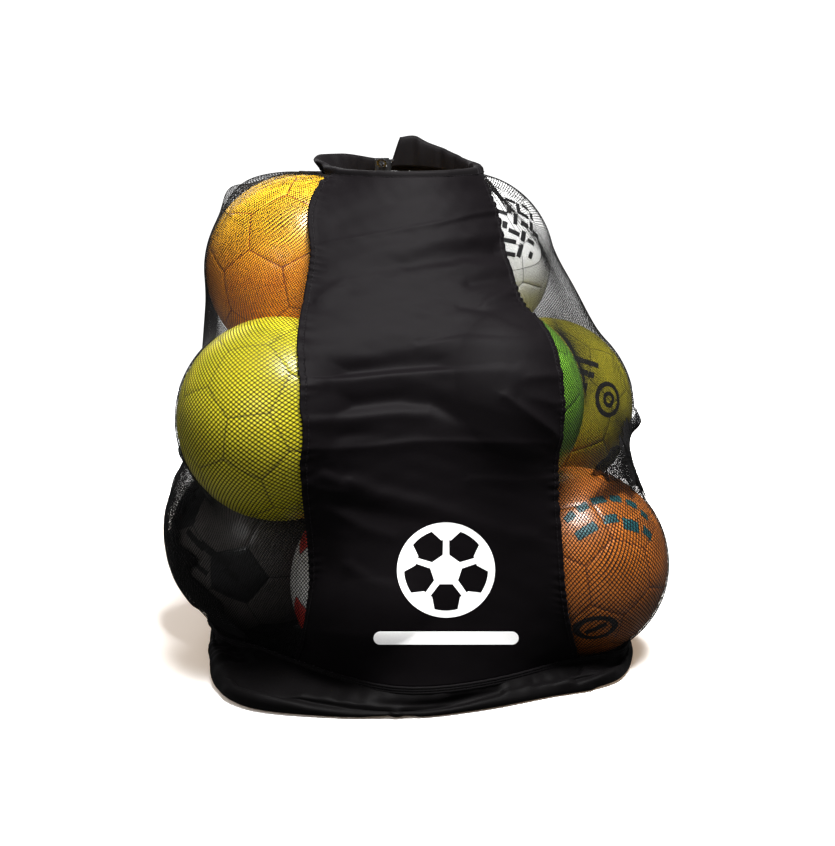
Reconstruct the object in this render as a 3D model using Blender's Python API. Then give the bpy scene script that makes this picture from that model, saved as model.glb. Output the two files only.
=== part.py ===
"""Mesh ball bag with eleven size-5 footballs.

Metres, +Z up, -Y is the front, -X the left. The floor is z = 0 and the base is
centred on BASE_CENTRE, a little behind the origin. The bag hangs over the balls
as a taut skin: a membrane between the base hem and the neck ring is relaxed and
pushed out wherever a ball touches it.

Angles round the bag are measured about +Z from +X, so 90 is the back, 180 the
left and 270 the front. Height up the skin is a fraction: 0 at the hem, 1 at the neck.
"""

import math

import bmesh
import bpy
import numpy as np
from mathutils import Vector

for old in list(bpy.data.objects):
    bpy.data.objects.remove(old, do_unlink=True)

TURN = 2 * math.pi

# ---------------------------------------------------------------- balls: sizes and places
BALL_R = 0.110            # size-5 football, 220 mm across
BALL_GAP = 0.0013         # air left between two balls
BALL_FLOOR = 0.0035       # underside of the lowest balls above the floor
CASING_INNER_R = 0.1078
VALVE_HOLE_R = 0.0042
VALVE_R = 0.0028
VALVE_LENGTH = 0.0052
VALVE_DEPTH = 0.0032      # middle of the valve below the ball's surface

# name: rough centre, how firmly the ball holds its place, colour
BALLS = {
    "ball_orange_top": ((-0.135, 0.042, 0.441), 40, (0.80, 0.30, 0.02)),
    "ball_yellow_left": ((-0.145, -0.126, 0.296), 60, (0.62, 0.60, 0.03)),
    "ball_black_white": ((-0.187, 0.052, 0.1135), 30, (0.55, 0.55, 0.55)),
    "ball_white_red": ((-0.034, -0.112, 0.1135), 15, (0.60, 0.58, 0.56)),
    "ball_white_top": ((0.059, 0.232, 0.431), 30, (0.62, 0.62, 0.61)),
    "ball_yellow_right": ((0.153, 0.124, 0.2635), 30, (0.55, 0.52, 0.03)),
    "ball_green": ((0.073, -0.083, 0.310), 40, (0.14, 0.48, 0.04)),
    "ball_orange_low": ((0.174, -0.040, 0.1135), 40, (0.55, 0.16, 0.03)),
    "ball_white_back": ((-0.146, 0.265, 0.425), 5, (0.62, 0.60, 0.60)),
    "ball_blue_back": ((0.030, 0.180, 0.1135), 1, (0.05, 0.12, 0.40)),
    "ball_white_core": ((-0.060, 0.140, 0.270), 1, (0.60, 0.60, 0.58)),
}

SETTLE_STEPS = 9000
LOOSE_GIVE = 0.4          # a ball that gives more than this is only weakly held
LOOSE_PULL = 0.0005       # share of the way home a loose ball is drawn per step
FIRM_PULL = 0.01

# ---------------------------------------------------------------- bag: sizes and outlines
BASE_CENTRE = (0.0, 0.044)
BASE_T = 0.0020
BASE_GAP = 0.0008         # between the base panel and the band round it
BASE_SEGMENTS = 60

# foot of the base: (degrees, radius); a round-cornered square, front left corner pulled out
FOOT = (
    (0, 0.246), (45, 0.284), (90, 0.266), (135, 0.286), (180, 0.246),
    (205, 0.260), (222, 0.293), (234, 0.306), (250, 0.287), (270, 0.272),
    (285, 0.259), (303, 0.256), (322, 0.278), (340, 0.262), (360, 0.246),
)
# sewn hem, drawn in between the balls where the base is empty: (degrees, radius)
HEM = (
    (0, 0.240), (45, 0.258), (90, 0.256), (135, 0.258), (180, 0.238), (198, 0.242),
    (212, 0.216), (232, 0.218), (249, 0.240), (265, 0.266), (275, 0.262), (287, 0.247),
    (304, 0.230), (320, 0.230), (336, 0.254), (360, 0.240),
)
HEM_Z = 0.020             # height of the sewn hem above the floor
HEM_RISE = 0.011          # the hem stands this much higher at the front
HEM_RISE_ANGLE = math.radians(-98)
HEM_RISE_SPREAD = math.radians(42)
HEM_CLEAR = 0.0055        # hem stands this far off a ball
BAND_INSET = 0.035        # how far the band turns in under the bag

NECK_CENTRE = (-0.015, 0.060)
NECK_RX = 0.090
NECK_RY = 0.085
NECK_Z = 0.5510
NECK_BACK_RISE = 0.002    # the neck seam runs this much higher at the back

SKIN_CENTRE = Vector((0.0, 0.040, 0.280))   # centre the skin is measured from
SKIN_CLEAR = 0.0069       # skin stands this far off each ball
NET_T = 0.0010
PANEL_T = 0.0012
TAPE_T = 0.0012
SEAM_GAP = 0.0008
SIDE_TAPE_HALF = 0.007    # half width
BACK_TAPE_HALF = 0.010
SIDE_TAPE_LIFT = 0.0018   # tape above the skin
BACK_TAPE_LIFT = 0.0012

# membrane grid: levels from hem to neck, columns round the bag
LEVELS, COLUMNS = 29, 96
RELAX_STEPS = 500

# sheet grid
ROWS = 24
PANEL_COLS = 10
NET_COLS = 21

# side edges of the front panel: (height fraction, degrees)
EDGE_LEFT = (
    (0.0, 232.0), (0.04, 238.5), (0.08, 243.0), (0.14, 246.0), (0.30, 249.0), (0.425, 252.0),
    (0.525, 250.5), (0.66, 243.5), (0.81, 236.5), (0.95, 219.0), (1.0, 208.0),
)
EDGE_RIGHT = (
    (0.0, 319.0), (0.04, 314.0), (0.08, 309.5), (0.14, 307.0), (0.40, 306.0), (0.50, 306.5),
    (0.60, 309.0), (0.71, 311.0), (0.86, 321.0), (0.97, 339.0), (1.0, 345.0),
)
BACK_SEAM = math.radians(450.0)   # the back, one full turn on


# ---------------------------------------------------------------- materials
def material(name, rgb, roughness, metallic=0.0):
    mat = bpy.data.materials.new(name)
    mat.use_nodes = True
    shader = mat.node_tree.nodes["Principled BSDF"]
    shader.inputs["Base Color"].default_value = (*rgb, 1)
    shader.inputs["Roughness"].default_value = roughness
    shader.inputs["Metallic"].default_value = metallic
    return mat


CLOTH = material("polyester_black", (0.030, 0.026, 0.029), roughness=0.85)
NET = material("net_black", (0.012, 0.012, 0.013), roughness=0.8)
BIND = material("binding_black", (0.016, 0.015, 0.016), roughness=0.8)
CORD = material("cord_black", (0.010, 0.010, 0.010), roughness=0.6)
PLASTIC = material("acetal_black", (0.012, 0.012, 0.012), roughness=0.35)
STEEL = material("spring_steel", (0.55, 0.55, 0.56), roughness=0.3, metallic=1.0)
VALVE = material("valve_rubber", (0.03, 0.03, 0.03), roughness=0.6)


# ---------------------------------------------------------------- building helpers
def add(name, mesh, mat, smooth=True, origin=(0, 0, 0)):
    """Writes a bmesh, given relative to origin, to a new object."""
    data = bpy.data.meshes.new(name)
    mesh.to_mesh(data)
    mesh.free()
    obj = bpy.data.objects.new(name, data)
    bpy.context.scene.collection.objects.link(obj)
    data.materials.append(mat)
    if smooth:
        data.shade_smooth()
        data.set_sharp_from_angle(angle=math.radians(40))
    obj.location = origin
    return obj


def sheet(name, rows, thick, mat, outside=False):
    """Grid of points, left to right as seen from outside, bottom row first."""
    mesh = bmesh.new()
    grid = [[mesh.verts.new(point) for point in row] for row in rows]
    for lower, upper in zip(grid, grid[1:]):
        for j in range(len(lower) - 1):
            mesh.faces.new((lower[j], lower[j + 1], upper[j + 1], upper[j]))
    solidify = add(name, mesh, mat).modifiers.new("thickness", "SOLIDIFY")
    solidify.thickness = thick
    solidify.offset = 1.0 if outside else -1.0


def loft(name, profiles, mat, closed=False):
    """Solid through a run of closed profiles; joined end to end, or capped."""
    mesh = bmesh.new()
    rings = [[mesh.verts.new(point) for point in profile] for profile in profiles]
    for k in range(len(rings) if closed else len(rings) - 1):
        ring, after = rings[k], rings[(k + 1) % len(rings)]
        for i in range(len(ring)):
            j = (i + 1) % len(ring)
            mesh.faces.new((ring[i], after[i], after[j], ring[j]))
    if not closed:
        mesh.faces.new(rings[0])
        mesh.faces.new(rings[-1][::-1])
    bmesh.ops.recalc_face_normals(mesh, faces=mesh.faces)
    return add(name, mesh, mat)


def cord(name, points, radius, mat, origin=(0, 0, 0), resolution=1):
    """A round cord: a poly curve with a bevel and capped ends."""
    curve = bpy.data.curves.new(name, "CURVE")
    curve.dimensions = "3D"
    curve.bevel_depth = radius
    curve.bevel_resolution = resolution
    curve.use_fill_caps = True
    spline = curve.splines.new("POLY")
    spline.points.add(len(points) - 1)
    for knot, point in zip(spline.points, points):
        knot.co = (*(point - Vector(origin)), 1)
    curve.materials.append(mat)
    obj = bpy.data.objects.new(name, curve)
    bpy.context.scene.collection.objects.link(obj)
    obj.location = origin
    return obj


def block(size, centre, bevel=0.0, segments=2, upright_only=False):
    """Box with all its edges, or only the upright ones, bevelled."""
    mesh = bmesh.new()
    bmesh.ops.create_cube(mesh, size=1.0)
    bmesh.ops.scale(mesh, vec=size, verts=mesh.verts)
    if bevel:
        edges = mesh.edges[:]
        if upright_only:
            edges = [e for e in edges if abs(e.verts[0].co.z - e.verts[1].co.z) > 1e-6]
        bmesh.ops.bevel(mesh, geom=edges, offset=bevel, segments=segments, profile=0.5,
                        affect="EDGES", clamp_overlap=True)
    bmesh.ops.translate(mesh, verts=mesh.verts, vec=centre)
    return mesh


def cut(target, tool_name, tool_mesh):
    """Cuts a hidden tool object out of the target."""
    tool = add(tool_name, tool_mesh, PLASTIC, smooth=False)
    tool.hide_render = True
    tool.display_type = "WIRE"
    boolean = target.modifiers.new("cut", "BOOLEAN")
    boolean.operation = "DIFFERENCE"
    boolean.solver = "EXACT"
    boolean.object = tool


def curve_at(table, at):
    """Straight-line reading of a table of (position, value)."""
    for (start, first), (end, last) in zip(table, table[1:]):
        if at <= end:
            return first + (last - first) * (at - start) / (end - start)
    return table[-1][1]


def ring_at(table, theta):
    """Smooth closed curve through a table of (degrees, radius)."""
    angle = math.degrees(theta) % 360.0
    spans = len(table) - 1
    k = max(i for i in range(spans) if table[i][0] <= angle)
    (start, first), (end, last) = table[k], table[k + 1]
    before = table[k - 1] if k else (table[spans - 1][0] - 360, table[spans - 1][1])
    after = table[k + 2] if k + 2 <= spans else (table[1][0] + 360, table[1][1])
    step = end - start
    slope_in = (last - before[1]) / (end - before[0])
    slope_out = (after[1] - first) / (after[0] - start)
    t = (angle - start) / step
    return ((2 * t ** 3 - 3 * t ** 2 + 1) * first + (t ** 3 - 2 * t ** 2 + t) * step * slope_in
            + (3 * t ** 2 - 2 * t ** 3) * last + (t ** 3 - t ** 2) * step * slope_out)


# ---------------------------------------------------------------- the pile
def settle_balls():
    """Pushes the balls apart until no two are nearer than a ball and a gap."""
    home = np.array([place for place, _, _ in BALLS.values()], float)
    give = np.array([1.0 / hold for _, hold, _ in BALLS.values()])
    pull = np.where(give > LOOSE_GIVE, LOOSE_PULL, FIRM_PULL)[:, None]
    places = home.copy()
    spacing = 2 * BALL_R + BALL_GAP
    for k in range(SETTLE_STEPS):
        # the pull home fades away, so the pushing apart has the last word
        places += (home - places) * pull * (1 - k / SETTLE_STEPS)
        for i in range(len(places)):
            for j in range(i + 1, len(places)):
                apart = places[j] - places[i]
                squared = float(apart @ apart)
                if squared < spacing * spacing:
                    length = math.sqrt(squared)
                    push = (spacing - length) / length * apart
                    shared = give[i] + give[j]
                    places[i] -= push * give[i] / shared
                    places[j] += push * give[j] / shared
        places[:, 2] = np.maximum(places[:, 2], BALL_R + BALL_FLOOR)
    return dict(zip(BALLS, places))


CENTRES = settle_balls()


# ---------------------------------------------------------------- base and neck rings
def far_ball_level(theta, height, clear):
    """Farthest distance at which the level ray from the base centre leaves an inflated ball."""
    ray_x, ray_y = math.cos(theta), math.sin(theta)
    far = 0.0
    for x, y, z in CENTRES.values():
        slice_sq = (BALL_R + clear) ** 2 - (height - z) ** 2
        if slice_sq <= 0:
            continue
        dx, dy = x - BASE_CENTRE[0], y - BASE_CENTRE[1]
        along = dx * ray_x + dy * ray_y
        off_sq = dx ** 2 + dy ** 2 - along ** 2
        if off_sq < slice_sq:
            far = max(far, along + math.sqrt(slice_sq - off_sq))
    return far


def hem_z(theta):
    angle = (theta - HEM_RISE_ANGLE + math.pi) % TURN - math.pi
    return HEM_Z + HEM_RISE * math.exp(-((angle / HEM_RISE_SPREAD) ** 2))


def hem_radius(theta):
    """Hem ring: its own outline, or just outside a ball that pushes it out.

    A running maximum over a few degrees keeps the straight chords of the ring
    clear of the ball as well."""
    radius = ring_at(HEM, theta)
    for k in range(-4, 5):
        near = theta + math.radians(1.5 * k)
        radius = max(radius, far_ball_level(near, hem_z(theta), HEM_CLEAR))
    return radius


def base_point(theta, radius, z):
    return Vector((BASE_CENTRE[0] + radius * math.cos(theta),
                   BASE_CENTRE[1] + radius * math.sin(theta), z))


def neck_point(theta, grow, z):
    """Point on the neck ellipse, with both half axes grown."""
    return Vector((NECK_CENTRE[0] + (NECK_RX + grow) * math.cos(theta),
                   NECK_CENTRE[1] + (NECK_RY + grow) * math.sin(theta), z))


def neck_z(theta):
    return NECK_Z + NECK_BACK_RISE * max(0.0, math.sin(theta))


# ---------------------------------------------------------------- the skin
def far_ball(direction):
    """Ray from the skin's centre: distance at which it leaves the last inflated ball."""
    far = 0.0
    for centre in CENTRES.values():
        offset = Vector(centre) - SKIN_CENTRE
        along = offset.dot(direction)
        off_sq = offset.length_squared - along * along
        radius_sq = (BALL_R + SKIN_CLEAR) ** 2
        if off_sq < radius_sq:
            far = max(far, along + math.sqrt(radius_sq - off_sq))
    return far


def skin_direction(height, theta):
    """Direction blended from hem to neck, and the distances of hem and neck."""
    hem = base_point(theta, hem_radius(theta), hem_z(theta) + SEAM_GAP) - SKIN_CENTRE
    neck = neck_point(theta, 0.0, neck_z(theta)) - SKIN_CENTRE
    direction = hem.normalized().slerp(neck.normalized(), height)
    return direction, hem.length, neck.length


def spring_weight(ahead, behind):
    """Inverse square of half the distance between opposite neighbours."""
    return 1.0 / np.maximum(((ahead - behind) ** 2).sum(-1) / 4, 1e-8)


def relax_skin():
    """Membrane over the balls, as distances along fixed directions."""
    directions = np.zeros((LEVELS, COLUMNS, 3))
    lowest = np.zeros((LEVELS, COLUMNS))
    reach = np.zeros((LEVELS, COLUMNS))
    for j in range(COLUMNS):
        theta = TURN * j / COLUMNS
        for i in range(LEVELS):
            height = i / (LEVELS - 1)
            direction, hem_reach, neck_reach = skin_direction(height, theta)
            directions[i, j] = direction
            reach[i, j] = hem_reach + (neck_reach - hem_reach) * height
            # the hem and neck rings stay put, whatever the balls do
            fixed = i in (0, LEVELS - 1)
            lowest[i, j] = reach[i, j] if fixed else far_ball(direction)
    reach = np.maximum(reach, lowest)
    for _ in range(RELAX_STEPS):
        points = directions * reach[..., None]
        before, after = np.roll(points, 1, 1), np.roll(points, -1, 1)
        above, below = points[2:], points[:-2]
        round_weight = spring_weight(after, before)[1:-1]
        height_weight = spring_weight(above, below)
        total = ((before[1:-1] + after[1:-1]) * round_weight[..., None]
                 + (above + below) * height_weight[..., None])
        mean = total / (2 * round_weight + 2 * height_weight)[..., None]
        reach[1:-1] = np.maximum((mean * directions[1:-1]).sum(-1), lowest[1:-1])
    return reach


SKIN_REACH = relax_skin()


def skin(height, theta):
    """Point on the outside of the skin."""
    direction, hem_reach, neck_reach = skin_direction(height, theta)
    if height <= 0:
        return SKIN_CENTRE + direction * hem_reach
    if height >= 1:
        return SKIN_CENTRE + direction * neck_reach
    level = height * (LEVELS - 1)
    column = (theta / TURN % 1.0) * COLUMNS
    i, j = min(int(level), LEVELS - 2), int(column) % COLUMNS
    up, across = level - i, column - int(column)
    k = (j + 1) % COLUMNS
    lower = SKIN_REACH[i, j] * (1 - across) + SKIN_REACH[i, k] * across
    upper = SKIN_REACH[i + 1, j] * (1 - across) + SKIN_REACH[i + 1, k] * across
    reach = lower * (1 - up) + upper * up
    return SKIN_CENTRE + direction * max(reach, far_ball(direction))


# ---------------------------------------------------------------- front panel, nets, seam tapes
def skin_row(height, start, end, columns):
    return [skin(height, start + (end - start) * j / columns) for j in range(columns + 1)]


def skin_rows():
    """Rows of outside points, each as (panel, right net, left net)."""
    rows = []
    for i in range(ROWS + 1):
        height = i / ROWS
        left = math.radians(curve_at(EDGE_LEFT, height))
        right = math.radians(curve_at(EDGE_RIGHT, height))
        rows.append((skin_row(height, left, right, PANEL_COLS),
                     skin_row(height, right, BACK_SEAM, NET_COLS),
                     skin_row(height, BACK_SEAM - TURN, left, NET_COLS)))
    return rows


def along_line(start, toward, distance):
    line = toward - start
    return start + line * (distance / line.length)


def trimmed(row):
    """A row with its end points moved in by half the seam gap."""
    first = along_line(row[0], row[1], SEAM_GAP / 2)
    last = along_line(row[-1], row[-2], SEAM_GAP / 2)
    return [first, *row[1:-1], last]


def tape(name, pairs, half, lift):
    """Binding over a seam: each pair is (row ending at the seam, row leaving it)."""
    triples = []
    for ending, leaving in pairs:
        middle = leaving[0]
        triples.append((along_line(middle, ending[-2], half), middle,
                        along_line(middle, leaving[1], half)))
    rows = []
    for i, (start, middle, end) in enumerate(triples):
        below = triples[max(i - 1, 0)][1]
        above = triples[min(i + 1, len(triples) - 1)][1]
        side = (end - start).normalized()
        normal = side.cross((above - below).normalized()).normalized()
        rows.append([start + normal * lift, middle + normal * (lift * 1.15),
                     end + normal * lift])
    sheet(name, rows, TAPE_T, BIND, outside=True)


SKIN_ROWS = skin_rows()
PANEL, RIGHT, LEFT = 0, 1, 2
for name, part, thick, mat in (("front_panel", PANEL, PANEL_T, CLOTH),
                               ("net_right", RIGHT, NET_T, NET),
                               ("net_left", LEFT, NET_T, NET)):
    sheet(name, [trimmed(row[part]) for row in SKIN_ROWS], thick, mat)

# the tapes stop one row short of the neck
for name, ending, leaving, half, lift in (
        ("side_seam_left", LEFT, PANEL, SIDE_TAPE_HALF, SIDE_TAPE_LIFT),
        ("side_seam_right", PANEL, RIGHT, SIDE_TAPE_HALF, SIDE_TAPE_LIFT),
        ("back_seam_tape", RIGHT, LEFT, BACK_TAPE_HALF, BACK_TAPE_LIFT)):
    tape(name, [(row[ending], row[leaving]) for row in SKIN_ROWS[:-1]], half, lift)


# ---------------------------------------------------------------- base
# Profiles run anticlockwise in the (radius, height) plane.
def band_profile(theta):
    """Thin band from the hem down to the foot and in under the bag."""
    hem, z, foot = hem_radius(theta), hem_z(theta), ring_at(FOOT, theta)
    middle = 0.4 * hem + 0.6 * foot
    points = [
        (hem + 0.0008, z), (hem - 0.0008, z),
        (hem - 0.0008, z * 0.70), (middle - 0.0002, z * 0.62),
        (foot + 0.0008, 0.0095), (foot - 0.0030, 0.0050),
        (foot - 0.0110, 0.0028), (foot - BAND_INSET, 0.0022),
        (foot - BAND_INSET, 0.0006), (foot - 0.0100, 0.0008),
        (foot + 0.0002, 0.0030), (foot + 0.0030, 0.0100),
        (middle + 0.0014, z * 0.62 + 0.0016), (hem + 0.0008, z * 0.70 + 0.0016),
    ]
    return [base_point(theta, radius, height) for radius, height in points]


def binding_profile(theta):
    """Strip round the outside of the hem."""
    outer, inner = hem_radius(theta) + 0.0030, hem_radius(theta) + 0.0012
    top, bottom = hem_z(theta) - 0.0005, hem_z(theta) * 0.70 + 0.0023
    points = [(outer, top), (inner, top), (inner, bottom), (outer, bottom)]
    return [base_point(theta, radius, height) for radius, height in points]


def base_panel():
    mesh = bmesh.new()
    outline = [mesh.verts.new(base_point(theta, ring_at(FOOT, theta) - BAND_INSET - BASE_GAP, 0.0))
               for theta in BASE_ANGLES]
    face = mesh.faces.new(outline)
    grown = bmesh.ops.extrude_face_region(mesh, geom=[face])["geom"]
    bmesh.ops.translate(mesh, verts=[g for g in grown if isinstance(g, bmesh.types.BMVert)],
                        vec=(0, 0, BASE_T))
    bmesh.ops.recalc_face_normals(mesh, faces=mesh.faces)
    add("base_panel", mesh, CLOTH, smooth=False)


BASE_ANGLES = [TURN * k / BASE_SEGMENTS for k in range(BASE_SEGMENTS)]
loft("base_band", map(band_profile, BASE_ANGLES), CLOTH, closed=True)
loft("base_hem_binding", map(binding_profile, BASE_ANGLES), BIND, closed=True)
base_panel()

# ---------------------------------------------------------------- collar and drawcord
# top edge of the gathered collar: (degrees round the neck, height)
LOBES = (
    (0, 0.5600), (20, 0.5635), (40, 0.5680), (60, 0.5780), (80, 0.5905), (90, 0.5940),
    (97, 0.5900), (108, 0.5660), (120, 0.5665), (132, 0.5695), (145, 0.5725), (156, 0.5735),
    (168, 0.5710), (180, 0.5665), (192, 0.5620), (215, 0.5590), (270, 0.5585), (325, 0.5590),
    (360, 0.5600),
)
LEAN = 0.018              # the left lobe of the collar leans out over the ball below it
LEAN_DEGREES = 172
LEAN_SPREAD = 22
COLLAR_LIFT = 0.0010      # foot of the collar above the neck seam
COLLAR_SEGMENTS = 40
GAP_ANGLE = math.radians(102.5)   # opening in the collar, at the back
GAP_HALF = math.radians(6.5)

CORD_R = 0.0016
CORD_PITCH = 0.0046       # between the two strands
CORD_X = -0.0400
CORD_Z = 0.5612
CORD_DROP = 0.0046        # cord below the collar's top edge
CORD_INSET = 0.0050       # cord inside the neck ellipse
CORD_GAP_SHARE = 0.72     # the cord ends poke this far short of the gap's half width
CORD_SEGMENTS = 44

LOCK_Y = 0.058
STRAND_BACK = NECK_CENTRE[1] + NECK_RY * math.sin(GAP_ANGLE) - 0.0150
LOOP_FRONT = 0.026        # y of the loop's front
LOOP_DEPTH = 0.010
LOOP_BULGE = 0.0042       # each side widens by this
LOOP_RISE = 0.0078
LOOP_SKEW = 0.001         # shift to the left


def collar_foot(theta):
    return neck_z(theta) + COLLAR_LIFT


def collar_top(theta):
    return curve_at(LOBES, math.degrees(theta) % 360.0)


def collar_lean(theta):
    angle = (math.degrees(theta) - LEAN_DEGREES + 180) % 360 - 180
    return LEAN * math.exp(-((angle / LEAN_SPREAD) ** 2))


def collar_profile(theta):
    """Channel with an open underside, as (growth of the neck ellipse, height)."""
    foot, top = collar_foot(theta), collar_top(theta)
    points = [
        (0.0006, foot), (0.0010, top - 0.0030), (-0.0015, top), (-0.0085, top),
        (-0.0110, top - 0.0030), (-0.0106, foot), (-0.0094, foot), (-0.0098, top - 0.0036),
        (-0.0080, top - 0.0012), (-0.0020, top - 0.0012), (-0.0002, top - 0.0036),
        (-0.0006, foot),
    ]
    lean = collar_lean(theta)
    return [neck_point(theta, grow + lean * max(0.0, (z - foot) / (top - foot)), z)
            for grow, z in points]


def channel_cord(theta):
    """Point of the drawcord inside the collar."""
    foot, top = collar_foot(theta), collar_top(theta)
    lean = collar_lean(theta) * (1 - CORD_DROP / (top - foot))
    return neck_point(theta, -CORD_INSET + lean, top - CORD_DROP)


def gap_to_gap(half_gap, segments):
    """Angles the long way round the neck, from one side of the gap to the other."""
    start = GAP_ANGLE + half_gap
    end = GAP_ANGLE + TURN - half_gap
    return [start + (end - start) * k / segments for k in range(segments + 1)]


def loop_points():
    """Two free strands from the collar gap forward to the closed loop."""
    half = CORD_PITCH / 2
    strand = (STRAND_BACK, LOCK_Y + 0.012, LOCK_Y - 0.010)
    points = [Vector((CORD_X + half, y, CORD_Z)) for y in strand]
    for k in range(11):
        angle = math.pi * k / 10
        bend = math.sin(angle)
        spread = half + LOOP_BULGE * bend ** 0.5
        points.append(Vector((CORD_X - LOOP_SKEW * bend + spread * math.cos(angle),
                              LOOP_FRONT + LOOP_DEPTH - LOOP_DEPTH * bend,
                              CORD_Z + LOOP_RISE * bend)))
    return points + [Vector((CORD_X - half, y, CORD_Z)) for y in reversed(strand)]


loft("collar_channel", map(collar_profile, gap_to_gap(GAP_HALF, COLLAR_SEGMENTS)), CLOTH)
cord("drawcord", [channel_cord(a) for a in gap_to_gap(GAP_HALF * CORD_GAP_SHARE, CORD_SEGMENTS)],
     CORD_R, CORD)
cord("drawcord_loop", loop_points(), CORD_R, CORD, origin=(CORD_X, LOCK_Y, CORD_Z))

# ---------------------------------------------------------------- cord lock
LOCK = Vector((CORD_X, LOCK_Y, CORD_Z - 0.0005))
SPRING_TURNS = 2.5
SPRING_TURN_STEPS = 8
SPRING_R = 0.0021
SPRING_WIRE_R = 0.00022
SPRING_BOTTOM = LOCK.z - 0.0066
SPRING_TOP = LOCK.z - 0.0040


def lock_block(size, rise, bevel=0.0):
    """Block centred above the lock's centre by rise, upright edges bevelled."""
    return block(size, LOCK + Vector((0, 0, rise)), bevel, upright_only=True)


def cord_lock_body():
    body = add("cord_lock_body", lock_block((0.0190, 0.0120, 0.0150), -0.0010, bevel=0.0028),
               PLASTIC)
    cut(body, "tool_lock_cavity", lock_block((0.0150, 0.0080, 0.0160), 0.0010, bevel=0.0020))
    cut(body, "tool_lock_slot", lock_block((0.0094, 0.0300, 0.0042), 0.0006))


def cord_lock_plunger():
    plunger = add("cord_lock_plunger", lock_block((0.0142, 0.0072, 0.0118), 0.0023, bevel=0.0018),
                  PLASTIC)
    cut(plunger, "tool_plunger_slot", lock_block((0.0096, 0.0300, 0.0057), 0.00135))


def cord_lock_spring():
    steps = int(SPRING_TURNS * SPRING_TURN_STEPS)
    coil = []
    for k in range(steps + 1):
        angle = TURN * k / SPRING_TURN_STEPS
        coil.append(Vector((LOCK.x + SPRING_R * math.cos(angle),
                            LOCK.y + SPRING_R * math.sin(angle),
                            SPRING_BOTTOM + (SPRING_TOP - SPRING_BOTTOM) * k / steps)))
    cord("cord_lock_spring", coil, SPRING_WIRE_R, STEEL, origin=LOCK, resolution=0)


cord_lock_body()
cord_lock_plunger()
cord_lock_spring()

# ---------------------------------------------------------------- shoulder strap at the back
STRAP_X = 0.010
STRAP_W = 0.038
STRAP_T = 0.0014
STRAP_CLEAR = 0.011       # strap off the skin where it is pulled tight
STRAIGHT_TOP = 0.3400     # height where the strap starts to hang straight


def back_line(height):
    """Back of the skin behind the strap's width, as a (y, z) pair."""
    middle = skin(height, math.pi / 2)
    reach = max(middle.y - SKIN_CENTRE.y, 0.06)
    across = [skin(height, math.acos(x / reach)) for x in (-0.014, 0.0, 0.016, 0.034)]
    z = max(point.z for point in across) if height > 0.7 else middle.z
    return max(point.y for point in across), z


def taut_part(straight):
    """Strap from the collar over the upper net, stretched over its high points."""
    collar_y = NECK_CENTRE[1] + NECK_RY
    line = [(collar_y + 0.0004, 0.5530)]
    line += [point for point in (back_line(1 - k / 40) for k in range(1, 30)) if point[1] > 0.35]
    line.append((straight - STRAP_CLEAR, STRAIGHT_TOP))
    hull = [0]
    while hull[-1] < len(line) - 1:     # always the next point standing farthest out
        y, z = line[hull[-1]]
        hull.append(max(range(hull[-1] + 1, len(line)),
                        key=lambda k: (math.atan2(line[k][0] - y, z - line[k][1]), k)))
    path = [(collar_y + 0.0022, 0.5830), (collar_y + 0.0026, 0.5620)]
    for k in hull[1:-1:2]:
        above_y, above_z = line[max(k - 2, 0)]
        below_y, below_z = line[min(k + 2, len(line) - 1)]
        length = math.hypot(below_y - above_y, below_z - above_z)
        path.append((line[k][0] + STRAP_CLEAR * (above_z - below_z) / length,
                     line[k][1] + STRAP_CLEAR * (below_y - above_y) / length))
    return path


def foot_part(straight):
    """Strap below the slider, following the skin down to the base band."""
    low_y, low_z = back_line(0.12)
    path = [(straight - 0.004, 0.1500), (low_y + 0.010, low_z)]
    path += [(y + 0.0090, z) for y, z in map(back_line, (0.075, 0.040, 0.015))]
    behind = [math.radians(degrees) for degrees in range(82, 98, 2)]
    base_y = BASE_CENTRE[1] + max(max(hem_radius(a), ring_at(FOOT, a)) for a in behind)
    return path + [(base_y + 0.0080, 0.0120)]


def ribbon(name, path, lift):
    """Flat webbing along a (y, z) path, standing lift off it."""
    profiles = []
    for i, (y, z) in enumerate(path):
        above_y, above_z = path[max(i - 1, 0)]
        below_y, below_z = path[min(i + 1, len(path) - 1)]
        run_y, run_z = below_y - above_y, below_z - above_z
        length = math.hypot(run_y, run_z)
        out_y, out_z = -run_z / length, run_y / length      # away from the bag
        profiles.append([(STRAP_X + side * STRAP_W / 2, y + out_y * off, z + out_z * off)
                         for side, off in ((-1, lift), (1, lift),
                                           (1, lift + STRAP_T), (-1, lift + STRAP_T))])
    loft(name, profiles, BIND)


def strap():
    """Upper and lower webbing, overlapping where they pass through the slider."""
    straight = max(back_line(k / 40)[0] for k in range(41)) + STRAP_CLEAR
    overlap = [(straight, 0.3000), (straight, 0.1800)]
    upper = taut_part(straight) + [(straight, STRAIGHT_TOP)] + overlap
    ribbon("strap_webbing_upper", upper, lift=0.0006)
    ribbon("strap_webbing_lower", overlap + foot_part(straight), lift=-0.0016)

    centre = Vector((STRAP_X, straight + 0.0002, 0.2400))
    slider = add("strap_slider", block((0.0470, 0.0090, 0.0240), centre, bevel=0.0012, segments=1),
                 PLASTIC, smooth=False)
    cut(slider, "tool_slider_slot", block((0.0394, 0.0050, 0.0600), centre))


strap()


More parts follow.
